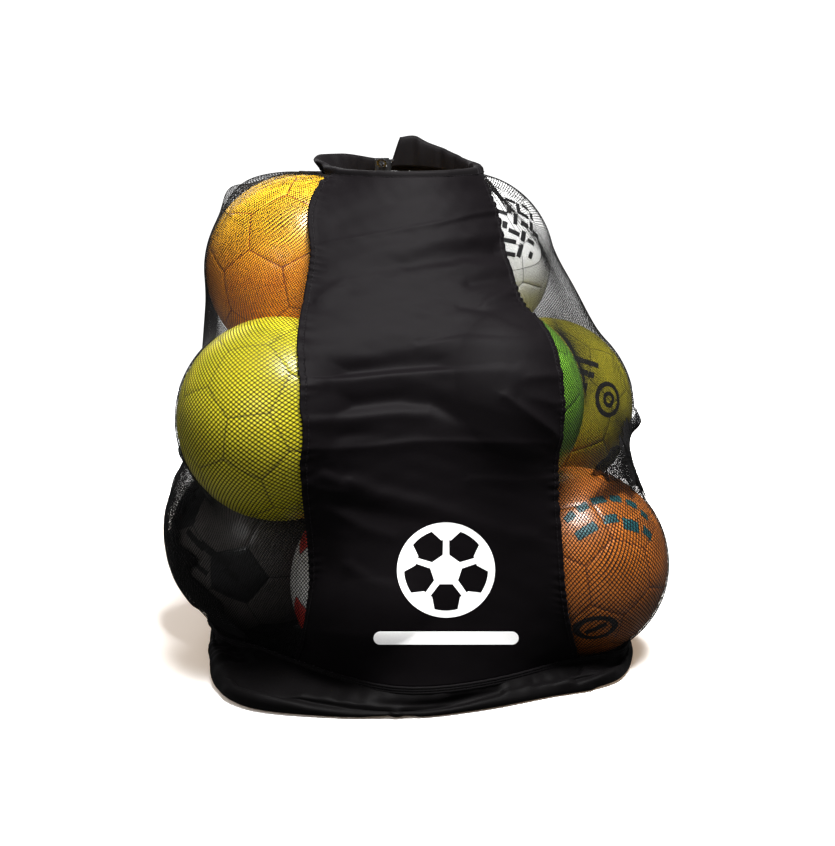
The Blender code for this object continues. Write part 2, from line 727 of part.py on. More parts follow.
# ---------------------------------------------------------------- balls
def holed_sphere(radius, subdivisions):
    """Sphere with a five-sided valve hole in place of its top vertex."""
    mesh = bmesh.new()
    bmesh.ops.create_icosphere(mesh, subdivisions=subdivisions, radius=radius)
    pole = max(mesh.verts, key=lambda v: v.co.z)
    bmesh.ops.bevel(mesh, geom=[pole], offset=VALVE_HOLE_R, segments=1, profile=0.5,
                    affect="VERTICES", clamp_overlap=True)
    cap = max(mesh.faces, key=lambda f: f.calc_center_median().z)
    bmesh.ops.delete(mesh, geom=[cap], context="FACES_ONLY")
    return mesh


def turn_to(mesh, axis):
    """Turns a mesh about its origin so that +Z points along axis."""
    turn = Vector((0, 0, 1)).rotation_difference(axis).to_matrix()
    bmesh.ops.rotate(mesh, cent=(0, 0, 0), matrix=turn, verts=mesh.verts)


def casing(name, centre, axis, mat):
    """Hollow ball: two spheres joined through the valve hole."""
    mesh = holed_sphere(BALL_R, subdivisions=3)
    inner = holed_sphere(CASING_INNER_R, subdivisions=2)
    bmesh.ops.reverse_faces(inner, faces=inner.faces)
    carrier = bpy.data.meshes.new("tmp")
    inner.to_mesh(carrier)
    inner.free()
    mesh.from_mesh(carrier)
    bpy.data.meshes.remove(carrier)
    bmesh.ops.bridge_loops(mesh, edges=[e for e in mesh.edges if e.is_boundary])
    turn_to(mesh, axis)
    bmesh.ops.recalc_face_normals(mesh, faces=mesh.faces)
    add(name, mesh, mat, origin=centre)


def valve(name, centre, axis):
    mesh = bmesh.new()
    bmesh.ops.create_cone(mesh, cap_ends=True, segments=6, radius1=VALVE_R * 0.8,
                          radius2=VALVE_R, depth=VALVE_LENGTH)
    bmesh.ops.translate(mesh, verts=mesh.verts, vec=(0, 0, BALL_R - VALVE_DEPTH))
    turn_to(mesh, axis)
    add(name, mesh, VALVE, origin=centre)


def ball_axis(k):
    """Valve directions, spread over the sphere by the golden angle."""
    z = 1 - 2 * (k + 0.5) / len(BALLS)
    radius = math.sqrt(1 - z * z)
    angle = k * math.pi * (3 - math.sqrt(5)) + 1.1
    return Vector((radius * math.cos(angle), radius * math.sin(angle), z))


for k, (name, (_, _, rgb)) in enumerate(BALLS.items()):
    centre = Vector(CENTRES[name])
    casing(name, centre, ball_axis(k), material(name + "_skin", rgb, roughness=0.4))
    valve(name + "_valve", centre, ball_axis(k))
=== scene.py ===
"""Net bag full of balls, with a printed cloth panel, a soft base, a collar with a cord, and a strap.

Metres, +Z up. The bag stands on z = 0. The panel faces -Y, the back seam and the strap are at +Y,
and +X is to the right when the bag is seen from the front.

Places on the skin are given by a level (0 at the hem, 1 at the neck) and a turn (angle about Z,
counted from +X towards +Y).
"""
import math

import bmesh
import bpy
import numpy as np
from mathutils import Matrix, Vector
from mathutils.bvhtree import BVHTree


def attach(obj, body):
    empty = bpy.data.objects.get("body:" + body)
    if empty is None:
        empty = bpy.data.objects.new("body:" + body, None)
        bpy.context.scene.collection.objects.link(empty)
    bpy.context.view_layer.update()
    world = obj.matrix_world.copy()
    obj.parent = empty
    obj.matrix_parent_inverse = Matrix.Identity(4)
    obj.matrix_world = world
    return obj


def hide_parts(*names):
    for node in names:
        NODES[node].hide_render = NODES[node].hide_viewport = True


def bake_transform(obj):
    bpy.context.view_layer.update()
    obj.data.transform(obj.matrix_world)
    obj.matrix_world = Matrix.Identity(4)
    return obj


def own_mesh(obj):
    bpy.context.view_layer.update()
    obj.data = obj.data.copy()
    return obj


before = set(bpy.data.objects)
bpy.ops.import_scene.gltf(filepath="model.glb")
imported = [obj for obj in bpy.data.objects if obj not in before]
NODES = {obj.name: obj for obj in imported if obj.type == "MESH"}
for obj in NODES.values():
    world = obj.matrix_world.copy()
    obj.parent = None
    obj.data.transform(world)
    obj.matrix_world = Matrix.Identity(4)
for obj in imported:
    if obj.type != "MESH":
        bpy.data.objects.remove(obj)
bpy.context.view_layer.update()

TAU = 2 * np.pi

# ------------------------------------------------------------------ arrays


def unit(vectors):
    return vectors / np.maximum(np.linalg.norm(vectors, axis=-1, keepdims=True), 1e-12)


def run_length(path):
    """Distance along a path at each of its points."""
    return np.concatenate([[0], np.cumsum(np.linalg.norm(np.diff(path, axis=0), axis=1))])


def rows_at(where, stations, rows):
    """Linear look-up of whole rows between stations."""
    return np.stack([np.interp(where, stations, column) for column in rows.T], -1)


def blur(values, reach, width, mirror=False):
    """Bell-weighted mean down the first axis; the ends are held, or mirrored through themselves."""
    bell = np.exp(-0.5 * (np.arange(-reach, reach + 1) / width) ** 2)
    bell /= bell.sum()
    if mirror:
        lead = 2 * values[:1] - values[reach:0:-1]
        tail = 2 * values[-1:] - values[-2:-reach - 2:-1]
    else:
        lead = np.repeat(values[:1], reach, axis=0)
        tail = np.repeat(values[-1:], reach, axis=0)
    padded = np.concatenate([lead, values, tail])
    return sum(weight * padded[k:k + len(values)] for k, weight in enumerate(bell))


def around(centre, radius, turn, z):
    """Points at a radius and turn about a vertical axis."""
    return np.stack([centre[0] + radius * np.cos(turn), centre[1] + radius * np.sin(turn),
                     z + 0 * (radius * turn)], -1)


def turn_gap(turn, centre):
    """Signed angle from a centre, within half a turn."""
    return (turn - centre + np.pi) % TAU - np.pi


# ------------------------------------------------------------------ meshes


def assign(ob, rider, slot, *cad):
    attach(ob, rider)
    if cad:
        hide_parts(*cad)


def mesh_from(name, verts, quads, tris, mats, face_mat=None):
    """Smooth mesh from arrays of corner indices."""
    me = bpy.data.meshes.new(name)
    verts = np.asarray(verts, np.float32).reshape(-1, 3)
    corners, starts, total = [], [], 0
    for faces, size in ((quads, 4), (tris, 3)):
        if faces is None or not len(faces):
            continue
        faces = np.asarray(faces, np.int32).reshape(-1, size)
        corners.append(faces.ravel())
        starts.append(np.arange(len(faces), dtype=np.int32) * size + total)
        total += faces.size
    starts = np.concatenate(starts)
    me.vertices.add(len(verts))
    me.vertices.foreach_set("co", verts.ravel())
    me.loops.add(total)
    me.loops.foreach_set("vertex_index", np.concatenate(corners))
    me.polygons.add(len(starts))
    me.polygons.foreach_set("loop_start", starts)
    for mat in mats:
        me.materials.append(mat)
    if face_mat is not None:
        me.polygons.foreach_set("material_index", np.asarray(face_mat, np.int32))
    me.update(calc_edges=True)
    me.validate()
    me.shade_smooth()
    ob = bpy.data.objects.new(name, me)
    bpy.context.scene.collection.objects.link(ob)
    return ob


def grid_quads(rows, cols, wrap=False, base=0, flip=False):
    """Quads of a rows x cols grid of points, row by row."""
    i = np.arange(rows - 1)[:, None]
    j = np.arange(cols if wrap else cols - 1)[None, :]
    k = (j + 1) % cols
    quads = np.stack([i * cols + j, i * cols + k, (i + 1) * cols + k, (i + 1) * cols + j], -1)
    quads = quads.reshape(-1, 4)
    if flip:
        quads = quads[:, ::-1]
    return quads + base


def grid_normals(grid, wrap=False):
    if wrap:
        across = np.roll(grid, -1, 1) - np.roll(grid, 1, 1)
    else:
        across = np.gradient(grid, axis=1)
    return unit(np.cross(across, np.gradient(grid, axis=0)))


def rim_quads(first, second, shift):
    """Quads that join an edge to its copy `shift` vertices later."""
    return np.stack([first, second, second + shift, first + shift], -1)


def sheet(name, grid, thick, mat, slot, *cad, wrap=False):
    """Thin closed solid of the bag. Its outer grid runs left to right, bottom row first."""
    rows, cols = grid.shape[:2]
    count = rows * cols
    inner = grid - grid_normals(grid, wrap) * thick
    low = np.arange(cols if wrap else cols - 1)
    low_next = (low + 1) % cols
    top = (rows - 1) * cols
    faces = [grid_quads(rows, cols, wrap), grid_quads(rows, cols, wrap, base=count, flip=True),
             rim_quads(low_next, low, count), rim_quads(top + low, top + low_next, count)]
    if not wrap:
        left = np.arange(rows - 1) * cols
        right = left + cols - 1
        faces.append(rim_quads(left, left + cols, count))
        faces.append(rim_quads(right + cols, right, count))
    verts = np.concatenate([grid.reshape(-1, 3), inner.reshape(-1, 3)])
    ob = mesh_from(name, verts, np.concatenate(faces), None, [mat])
    assign(ob, "bag", slot, *cad)


RIB_PITCH = 0.0036      # length of one turn of the ribs on a braided cord


def tube(path, radius, sides, rib=0.0):
    """Vertices, quads and cap triangles of a round cord; `rib` is the height share of its ribs."""
    path = np.asarray(path, float)
    count = len(path)
    tangent = unit(np.gradient(path, axis=0))
    start = np.array([0.0, 0.0, 1.0]) if abs(tangent[0, 2]) < 0.9 else np.array([1.0, 0.0, 0.0])
    across = np.zeros_like(path)
    side = start - tangent[0] * (start @ tangent[0])
    across[0] = side / np.linalg.norm(side)
    for k in range(1, count):
        side = across[k - 1] - tangent[k] * (across[k - 1] @ tangent[k])
        across[k] = side / max(np.linalg.norm(side), 1e-9)
    other = np.cross(tangent, across)
    angle = np.arange(sides) * TAU / sides
    phase = TAU * run_length(path)[:, None] / RIB_PITCH + 2 * angle[None, :]
    spread = (radius * (1 + rib * np.sin(phase)))[..., None]
    round_ = (np.cos(angle)[None, :, None] * across[:, None]
              + np.sin(angle)[None, :, None] * other[:, None])
    verts = path[:, None] + spread * round_
    index = np.arange(count)[:, None] * sides + np.arange(sides)[None, :]
    here, ahead = index[:-1], index[1:]
    quads = np.stack([here, np.roll(here, -1, 1), np.roll(ahead, -1, 1), ahead], -1)
    verts = np.concatenate([verts.reshape(-1, 3), path[:1], path[-1:]])
    cap0, cap1 = len(verts) - 2, len(verts) - 1
    tris = []
    for k in range(sides):
        m = (k + 1) % sides
        tris.append((cap0, index[0, m], index[0, k]))
        tris.append((cap1, index[-1, k], index[-1, m]))
    return verts, quads.reshape(-1, 4), np.array(tris, int).reshape(-1, 3)


def merge_tubes(name, parts, mat):
    verts, quads, tris, total = [], [], [], 0
    for part_verts, part_quads, part_tris in parts:
        verts.append(part_verts)
        quads.append(part_quads + total)
        tris.append(part_tris + total)
        total += len(part_verts)
    return mesh_from(name, np.concatenate(verts), np.concatenate(quads), np.concatenate(tris), [mat])


def stitches(name, line, normals, length, gap, radius, lift=0.0003, slot="binding"):
    """Small raised thread stitches along a line on the bag."""
    run = run_length(line)
    arch = np.sin(np.linspace(0, np.pi, 5))[:, None] ** 0.5
    parts, start = [], gap
    while start + length < run[-1]:
        where = np.linspace(start, start + length, 5)
        out = unit(rows_at(where, run, normals))
        path = rows_at(where, run, line) + out * (lift + radius * (1.4 * arch - 1.0))
        parts.append(tube(path, radius, sides=5))
        start += length + gap
    assign(merge_tubes(name, parts, THREAD), "bag", slot)


# ------------------------------------------------------------------ materials


class Shader:
    """Short way to write shader nodes."""

    def __init__(self, name, rough, metal=0.0, spec=0.5):
        self.mat = bpy.data.materials.new(name)
        self.mat.use_nodes = True
        self.tree = self.mat.node_tree
        self.inputs = self.tree.nodes["Principled BSDF"].inputs
        self.set(Roughness=rough, Metallic=metal, Specular_IOR_Level=spec)
        self.place = self.node("ShaderNodeTexCoord").outputs["Object"]

    def set(self, **values):
        """Fixed inputs of the surface; underscores stand for spaces."""
        for key, value in values.items():
            self.inputs[key.replace("_", " ")].default_value = value

    def node(self, kind, **settings):
        node = self.tree.nodes.new(kind)
        for key, value in settings.items():
            setattr(node, key, value)
        return node

    def put(self, socket, value):
        if hasattr(value, "is_output"):
            self.tree.links.new(value, socket)
        else:
            socket.default_value = value

    def paint(self, socket, value):
        """Like put, for a colour given as three numbers."""
        self.put(socket, value if hasattr(value, "is_output") else (*value, 1))

    def color(self, value):
        self.paint(self.inputs["Base Color"], value)

    def math(self, operation, *values):
        node = self.node("ShaderNodeMath", operation=operation)
        for socket, value in zip(node.inputs, (*values, 0.0, 0.0)):
            self.put(socket, value)
        return node.outputs[0]

    def noise(self, scale, detail, rough=0.5):
        node = self.node("ShaderNodeTexNoise")
        self.put(node.inputs["Vector"], self.place)
        node.inputs["Scale"].default_value = scale
        node.inputs["Detail"].default_value = detail
        node.inputs["Roughness"].default_value = rough
        return node.outputs["Fac"]

    def ramp(self, value, *stops):
        """Colour ramp between two (position, colour) stops."""
        node = self.node("ShaderNodeValToRGB")
        self.put(node.inputs[0], value)
        for element, (position, color) in zip(node.color_ramp.elements, stops):
            element.position = position
            element.color = (*color, 1)
        return node.outputs[0]

    def smooth_range(self, value, low, high, to_low=0.0, to_high=1.0):
        node = self.node("ShaderNodeMapRange", interpolation_type="SMOOTHSTEP")
        self.put(node.inputs[0], value)
        for k, number in enumerate((low, high, to_low, to_high)):
            node.inputs[k + 1].default_value = number
        return node.outputs[0]

    def mix(self, share, first, second):
        node = self.node("ShaderNodeMix", data_type="RGBA")
        self.put(node.inputs[0], share)
        self.paint(node.inputs[6], first)
        self.paint(node.inputs[7], second)
        return node.outputs[2]

    def axis(self, k):
        """One coordinate of the place."""
        node = self.node("ShaderNodeSeparateXYZ")
        self.put(node.inputs[0], self.place)
        return node.outputs[k]

    def bump(self, height, strength, distance):
        node = self.node("ShaderNodeBump")
        self.put(node.inputs["Height"], height)
        node.inputs["Strength"].default_value = strength
        node.inputs["Distance"].default_value = distance
        self.put(self.inputs["Normal"], node.outputs[0])

    def weave(self, scale):
        """Plain weave height from two crossed waves."""
        waves = []
        for direction in ("X", "Z"):
            node = self.node("ShaderNodeTexWave", wave_type="BANDS", bands_direction=direction,
                             wave_profile="SIN")
            self.put(node.inputs["Vector"], self.place)
            node.inputs["Scale"].default_value = scale
            node.inputs["Distortion"].default_value = 0.6
            node.inputs["Detail"].default_value = 1.0
            waves.append(node.outputs["Fac"])
        return self.math("MULTIPLY", *waves)


PANEL_WEAVE = 420.0     # wave scale of the plain cloth


def fabric(name, dark, light, rough, sheen, weave=PANEL_WEAVE, bump=0.35, spec=0.055):
    g = Shader(name, rough=rough, spec=spec)
    broad = g.noise(scale=9.0, detail=4.0, rough=0.55)
    fine = g.noise(scale=900.0, detail=2.0, rough=0.6)
    shade = g.math("ADD", g.math("MULTIPLY", broad, 0.65), g.math("MULTIPLY", fine, 0.35))
    g.color(g.ramp(shade, (0.30, dark), (0.70, light)))
    relief = g.math("ADD", g.weave(weave), g.math("MULTIPLY", fine, 0.6))
    g.bump(relief, strength=bump, distance=0.0003)
    g.set(Sheen_Weight=sheen, Sheen_Roughness=0.45, Sheen_Tint=(0.75, 0.70, 0.76, 1))
    return g.mat


def hard(name, dark, light, rough, metal=0.0):
    g = Shader(name, rough=rough, metal=metal)
    mottle = g.noise(scale=220.0, detail=4.0, rough=0.6)
    g.color(g.ramp(mottle, (0.35, dark), (0.65, light)))
    # the noise moves the roughness 0.08 either way
    g.put(g.inputs["Roughness"], g.math("MULTIPLY_ADD", mottle, 0.16, rough - 0.08))
    g.bump(g.noise(scale=1200.0, detail=2.0), strength=0.08, distance=0.0002)
    return g.mat


def print_white():
    g = Shader("panel_print", rough=0.55)
    speckle = g.noise(scale=1400.0, detail=2.0)
    g.color(g.ramp(speckle, (0.3, (0.80, 0.80, 0.79)), (0.7, (0.90, 0.90, 0.89))))
    g.bump(g.weave(PANEL_WEAVE), strength=0.25, distance=0.0002)
    return g.mat


PANEL_CLOTH = fabric("polyester_cloth", (0.0029, 0.0022, 0.0027), (0.0048, 0.0039, 0.0045),
                     rough=0.58, sheen=0.012)
BAND_CLOTH = fabric("band_cloth", (0.0022, 0.0019, 0.0020), (0.0038, 0.0034, 0.0036),
                    rough=0.55, sheen=0.015)
COLLAR_CLOTH = fabric("collar_cloth", (0.0042, 0.0036, 0.0039), (0.0068, 0.0060, 0.0064),
                      rough=0.56, sheen=0.02)
BINDING = fabric("binding", (0.0030, 0.0026, 0.0028), (0.0056, 0.0050, 0.0053),
                 rough=0.6, sheen=0.04, weave=700.0)
WEBBING = fabric("webbing", (0.0060, 0.0054, 0.0057), (0.0105, 0.0095, 0.0100),
                 rough=0.5, sheen=0.05, weave=300.0, bump=0.8)
CORD = fabric("cord", (0.0070, 0.0065, 0.0066), (0.0130, 0.0120, 0.0122),
              rough=0.5, sheen=0.05, weave=900.0, bump=0.6, spec=0.25)
THREAD = fabric("thread", (0.0060, 0.0054, 0.0057), (0.0120, 0.0110, 0.0115),
                rough=0.5, sheen=0.05, weave=1500.0)
NET = fabric("net", (0.0040, 0.0038, 0.0040), (0.0080, 0.0076, 0.0080),
             rough=0.60, sheen=0.0, weave=900.0, spec=0.12)
PLASTIC = hard("plastic", (0.010, 0.010, 0.010), (0.016, 0.016, 0.017), rough=0.32)
STEEL = hard("spring_steel", (0.45, 0.45, 0.46), (0.60, 0.60, 0.61), rough=0.25, metal=1.0)
RUBBER = hard("valve_rubber", (0.02, 0.02, 0.02), (0.04, 0.04, 0.04), rough=0.6)
PRINT_WHITE = print_white()

# ------------------------------------------------------------------ the balls' places
BALL_R = 0.110
BALLS = [name for name in sorted(NODES) if name.startswith("ball_") and not name.endswith("_valve")]


def cad_points(node):
    return np.array([v.co for v in NODES[node].data.vertices], float)


def ball_centre(node):
    """Centre of a ball, fitted to the outer points of its CAD casing."""
    points = cad_points(node)
    centre = (points.min(0) + points.max(0)) / 2
    for _ in range(4):
        shell = points[np.linalg.norm(points - centre, axis=1) > BALL_R - 0.0012]
        matrix = np.c_[2 * shell, np.ones(len(shell))]
        centre = np.linalg.lstsq(matrix, (shell ** 2).sum(1), rcond=None)[0][:3]
    return centre


CENTRES = {name: ball_centre(name) for name in BALLS}

# ------------------------------------------------------------------ front view
CAM_PLACE = np.array([0.0, -1.8096, 0.6535])
CAM_AHEAD = np.array([0.0, 0.97815, -0.20791])
CAM_UP = np.array([0.0, 0.20791, 0.97815])
CAM_LENS = 68.085106        # mm
CAM_SENSOR = 36.0           # mm
# The folds and the print are laid out in mm, x right and y up from the camera's axis, on an upright
# plane at this distance ahead of the camera, about where the front of the bag is.
VIEW_PLANE = 1600.0         # mm


def front_view(points):
    """Where sight lines to the points cross the view plane, x and y in mm."""
    offset = np.asarray(points) - CAM_PLACE
    depth = offset @ CAM_AHEAD
    return VIEW_PLANE * offset[..., 0] / depth, VIEW_PLANE * (offset @ CAM_UP) / depth


def fold(x, y, line, height, above, below, start, end, sharp=2.0):
    """Ridge (height > 0) or groove (height < 0) along a line of the front view, in metres."""
    lengths = np.linalg.norm(np.diff(np.array(line, float), axis=0), axis=1)
    nearest = np.full(x.shape, 1e9)
    side = np.ones(x.shape)             # positive below a line that runs to the right
    share = np.zeros(x.shape)           # how far along the line
    passed = 0.0
    for (x0, y0), (x1, y1), length in zip(line[:-1], line[1:], lengths):
        dir_x, dir_y = (x1 - x0) / length, (y1 - y0) / length
        reach = np.clip((x - x0) * dir_x + (y - y0) * dir_y, 0, length)
        off_x, off_y = x - (x0 + dir_x * reach), y - (y0 + dir_y * reach)
        distance = np.hypot(off_x, off_y)
        near = distance < nearest
        nearest = np.where(near, distance, nearest)
        side = np.where(near, np.sign(dir_y * off_x - dir_x * off_y), side)
        share = np.where(near, (passed + reach) / lengths.sum(), share)
        passed += length
    width = np.where(side >= 0, below, above)
    return height * 0.001 * np.exp(-(nearest / width) ** sharp) * (start + (end - start) * share)


# ------------------------------------------------------------------ hem and neck rings
BASE_CENTRE = np.array([0.0, 0.044])
HEM_Z, HEM_RISE = 0.0205, 0.011         # the hem stands higher at the front
# outlines about BASE_CENTRE: (degrees, radius)
FOOT = ((0, 0.246), (45, 0.284), (90, 0.266), (135, 0.286), (180, 0.246), (205, 0.260),
        (222, 0.293), (234, 0.306), (250, 0.287), (270, 0.272), (285, 0.259), (303, 0.256),
        (322, 0.278), (340, 0.262), (360, 0.246))
HEM = ((0, 0.240), (45, 0.258), (90, 0.256), (135, 0.258), (180, 0.238), (198, 0.242),
       (212, 0.216), (232, 0.218), (249, 0.240), (265, 0.266), (275, 0.262), (287, 0.247),
       (304, 0.230), (320, 0.230), (336, 0.254), (360, 0.240))
NECK_CENTRE = np.array([-0.015, 0.060])
NECK_RX, NECK_RY, NECK_Z = 0.090, 0.085, 0.5518
SKIN_CENTRE = np.array([0.0, 0.040, 0.280])     # the skin is a reach out from here
CLEAR = 0.0016                                  # gap between the skin and a ball


def ring_at(table, turn):
    """Smooth closed cubic through a table of (degrees, radius)."""
    degrees, radii = np.array(table, float).T
    degrees = np.concatenate([[degrees[-2] - 360], degrees, [degrees[1] + 360]])
    radii = np.concatenate([[radii[-2]], radii, [radii[1]]])
    where = np.degrees(np.mod(turn, TAU)) % 360.0
    k = np.clip(np.searchsorted(degrees, where, side="right") - 1, 1, len(degrees) - 3)
    span = degrees[k + 1] - degrees[k]
    slope0 = (radii[k + 1] - radii[k - 1]) / (degrees[k + 1] - degrees[k - 1])
    slope1 = (radii[k + 2] - radii[k]) / (degrees[k + 2] - degrees[k])
    q = (where - degrees[k]) / span
    return ((2 * q ** 3 - 3 * q ** 2 + 1) * radii[k] + (q ** 3 - 2 * q ** 2 + q) * span * slope0
            + (3 * q ** 2 - 2 * q ** 3) * radii[k + 1] + (q ** 3 - q ** 2) * span * slope1)


def hem_z(turn):
    off = turn_gap(turn, -math.radians(98))
    return HEM_Z + HEM_RISE * np.exp(-((off / math.radians(42)) ** 2))


def far_side(directions, centres, origin, radius_sq):
    """Distance along each direction to the far side of the balls it meets, or 0."""
    far = np.zeros(directions.shape[:-1])
    for centre, square in zip(centres, radius_sq):
        offset = centre - origin
        along = directions @ offset
        off_sq = (offset ** 2).sum() - along ** 2
        depth = np.sqrt(np.maximum(square - off_sq, 0))
        far = np.maximum(far, np.where(off_sq < square, along + depth, 0))
    return far


def make_hem(turns, spread=16):
    """Hem outline, pushed out past the balls and smoothed round the ring."""
    directions = np.stack([np.cos(turns), np.sin(turns)], -1)
    squares = [(BALL_R + 0.0042) ** 2 - (hem_z(turns) - c[2]) ** 2 for c in CENTRES.values()]
    flat = [c[:2] for c in CENTRES.values()]
    radius = np.maximum(ring_at(HEM, turns), far_side(directions, flat, BASE_CENTRE, squares))
    steps = np.arange(len(turns))
    steps = np.minimum(steps, len(turns) - steps)
    bell = np.exp(-0.5 * (steps / spread) ** 2)
    return np.real(np.fft.ifft(np.fft.fft(radius) * np.fft.fft(bell / bell.sum())))


RING_COUNT = 1440
RING_TURNS = np.arange(RING_COUNT) * TAU / RING_COUNT
HEM_R = make_hem(RING_TURNS)


def hem_radius(turn):
    return np.interp(np.mod(turn, TAU), np.append(RING_TURNS, TAU), np.append(HEM_R, HEM_R[0]))


def hem_point(turn, grow=0.0, z=None):
    return around(BASE_CENTRE, hem_radius(turn) + grow, turn, hem_z(turn) if z is None else z)


def neck_z(turn):
    return NECK_Z + 0.002 * np.maximum(0, np.sin(turn))


def neck_point(turn, grow=0.0, z=None):
    z = neck_z(turn) if z is None else z
    return np.stack([NECK_CENTRE[0] + (NECK_RX + grow) * np.cos(turn),
                     NECK_CENTRE[1] + (NECK_RY + grow) * np.sin(turn), z + 0 * turn], -1)


# ------------------------------------------------------------------ the taut skin over the balls
# (rows, columns, steps) of each pass, coarse to fine
SKIN_PASSES = ((31, 90, 500), (61, 180, 300), (121, 360, 160), (241, 720, 40))
SKIN_ROWS, SKIN_COLS = SKIN_PASSES[-1][:2]


def far_ball(directions, clear=CLEAR):
    squares = [(BALL_R + clear) ** 2] * len(CENTRES)
    return far_side(directions, CENTRES.values(), SKIN_CENTRE, squares)


def skin_grid(rows, cols):
    return np.meshgrid(np.linspace(0, 1, rows), np.arange(cols) * TAU / cols, indexing="ij")


def skin_dirs(level, turn):
    """Directions from hem to neck, and the reach to each of those rings."""
    low, high = hem_point(turn) - SKIN_CENTRE, neck_point(turn) - SKIN_CENTRE
    low_reach, high_reach = np.linalg.norm(low, axis=-1), np.linalg.norm(high, axis=-1)
    low, high = low / low_reach[..., None], high / high_reach[..., None]
    angle = np.arccos(np.clip((low * high).sum(-1), -1, 1))[..., None]
    level = level[..., None]
    directions = np.sin((1 - level) * angle) * low + np.sin(level * angle) * high
    return directions / np.sin(angle), low_reach, high_reach


def relax(rows, cols, reach, steps):
    """Pulls the skin tight: each point moves to the weighted mean of its neighbours, but never
    into a ball."""
    level, turn = skin_grid(rows, cols)
    directions, low_reach, high_reach = skin_dirs(level, turn)
    floor = far_ball(directions)
    if reach is None:
        reach = low_reach + (high_reach - low_reach) * level
    for field in (floor, reach):
        field[0], field[-1] = low_reach[0], high_reach[0]
    reach = np.maximum(reach, floor)
    for _ in range(steps):
        points = directions * reach[..., None]
        left, right = np.roll(points, 1, 1), np.roll(points, -1, 1)
        weight = 1.0 / np.maximum(((right - left) ** 2).sum(-1), 1e-9)[1:-1]
        above, below = points[2:], points[:-2]
        weight_up = 1.0 / np.maximum(((above - below) ** 2).sum(-1), 1e-9)
        total = ((left[1:-1] + right[1:-1]) * weight[..., None]
                 + (above + below) * weight_up[..., None])
        mean = total / (2 * weight + 2 * weight_up)[..., None]
        reach[1:-1] = np.maximum((mean * directions[1:-1]).sum(-1), floor[1:-1])
    return reach, directions


def upsample(reach, rows, cols):
    old_rows, old_cols = reach.shape
    x = np.linspace(0, old_rows - 1, rows)
    i = np.minimum(x.astype(int), old_rows - 2)
    part = (x - i)[:, None]
    reach = reach[i] * (1 - part) + reach[i + 1] * part
    y = np.arange(cols) * old_cols / cols
    j = y.astype(int) % old_cols
    part = (y - y.astype(int))[None, :]
    return reach[:, j] * (1 - part) + reach[:, (j + 1) % old_cols] * part


def make_taut():
    reach = None
    for rows, cols, steps in SKIN_PASSES:
        if reach is not None:
            reach = upsample(reach, rows, cols)
        reach, directions = relax(rows, cols, reach, steps)
    return reach, directions


def soft_noise(level, turn, level_rate, turn_rate, seed):
    """Smooth seeded pattern that closes on itself round the bag."""
    random = np.random.RandomState(seed)
    waves, total = 7, 0
    for _ in range(waves):
        size = random.uniform(0.4, 1.0)
        up = random.uniform(0.4, 1) * level_rate * level + random.uniform()
        round_ = np.round(random.uniform(0.4, 1) * turn_rate) * turn * random.choice([-1, 1])
        total = total + size * np.sin(TAU * up + round_ + random.uniform(0, 6.28))
    return total / waves


def slack(level, turn):
    """Loose net: gathers under the neck, ripples over the hem, soft folds between the balls."""
    free = np.clip((REACH - far_ball(SKIN_DIRS)) / 0.010, 0, 1)
    neck = np.clip((level - 0.80) / 0.20, 0, 1) ** 1.4
    # nothing at the panel, full at the sides and the back
    side = np.clip(np.abs(turn_gap(turn, math.radians(275))) / math.radians(60) - 0.6, 0, 1)
    pleat = (np.sin(46 * turn + 3.0 * np.sin(5 * turn)) * 0.6
             + np.sin(29 * turn + 2.0 * np.sin(3 * turn) + 1.0) * 0.4)
    near_neck = np.clip((1.0 - level) / 0.03, 0.25, 1)
    out = 0.0034 * neck * pleat * (0.25 + 0.75 * side) * near_neck
    low = np.clip(1 - level / 0.16, 0, 1) ** 1.2
    ripple = (np.sin(38 * turn + 2.5 * np.sin(4 * turn)) * 0.6 + np.sin(61 * turn) * 0.4)
    out = out + 0.0022 * low * side * ripple
    ends = np.clip(np.minimum(level, 1 - level) / 0.1, 0, 1)
    out = out + 0.0030 * free * side * soft_noise(level, turn, 5, 9, seed=3) * ends
    out[0] = out[-1] = 0
    return out


# knots of gathered net that stand off the skin: (level, degrees, level size, degree size, height)
BUMPS = ((0.224, 176.0, 0.013, 2.4, 0.0080), (0.193, 177.0, 0.012, 2.2, 0.0070),
         (0.333, 9.0, 0.020, 3.0, 0.0110), (0.25, 184.0, 0.070, 20.0, 0.0150),
         (0.62, 27.0, 0.10, 16.0, 0.0090), (0.828, 178.0, 0.034, 9.0, 0.0160),
         (0.74, 137.0, 0.045, 9.0, 0.0090), (0.235, 357.0, 0.060, 16.0, -0.0110))


def bumps(level, turn):
    total = 0
    for level0, degrees, level_size, degree_size, height in BUMPS:
        off = turn_gap(turn, math.radians(degrees)) / math.radians(degree_size)
        total = total + height * np.exp(-((level - level0) / level_size) ** 2 - off ** 2)
    return total


def make_loose():
    level, turn = skin_grid(SKIN_ROWS, SKIN_COLS)
    reach = REACH + slack(level, turn) + bumps(level, turn)
    return SKIN_CENTRE + SKIN_DIRS * np.maximum(reach, far_ball(SKIN_DIRS, 0.0012))[..., None]


REACH, SKIN_DIRS = make_taut()
TAUT = SKIN_CENTRE + SKIN_DIRS * REACH[..., None]
LOOSE = make_loose()
TAUT_NORMALS = grid_normals(TAUT, True)
LOOSE_NORMALS = grid_normals(LOOSE, True)


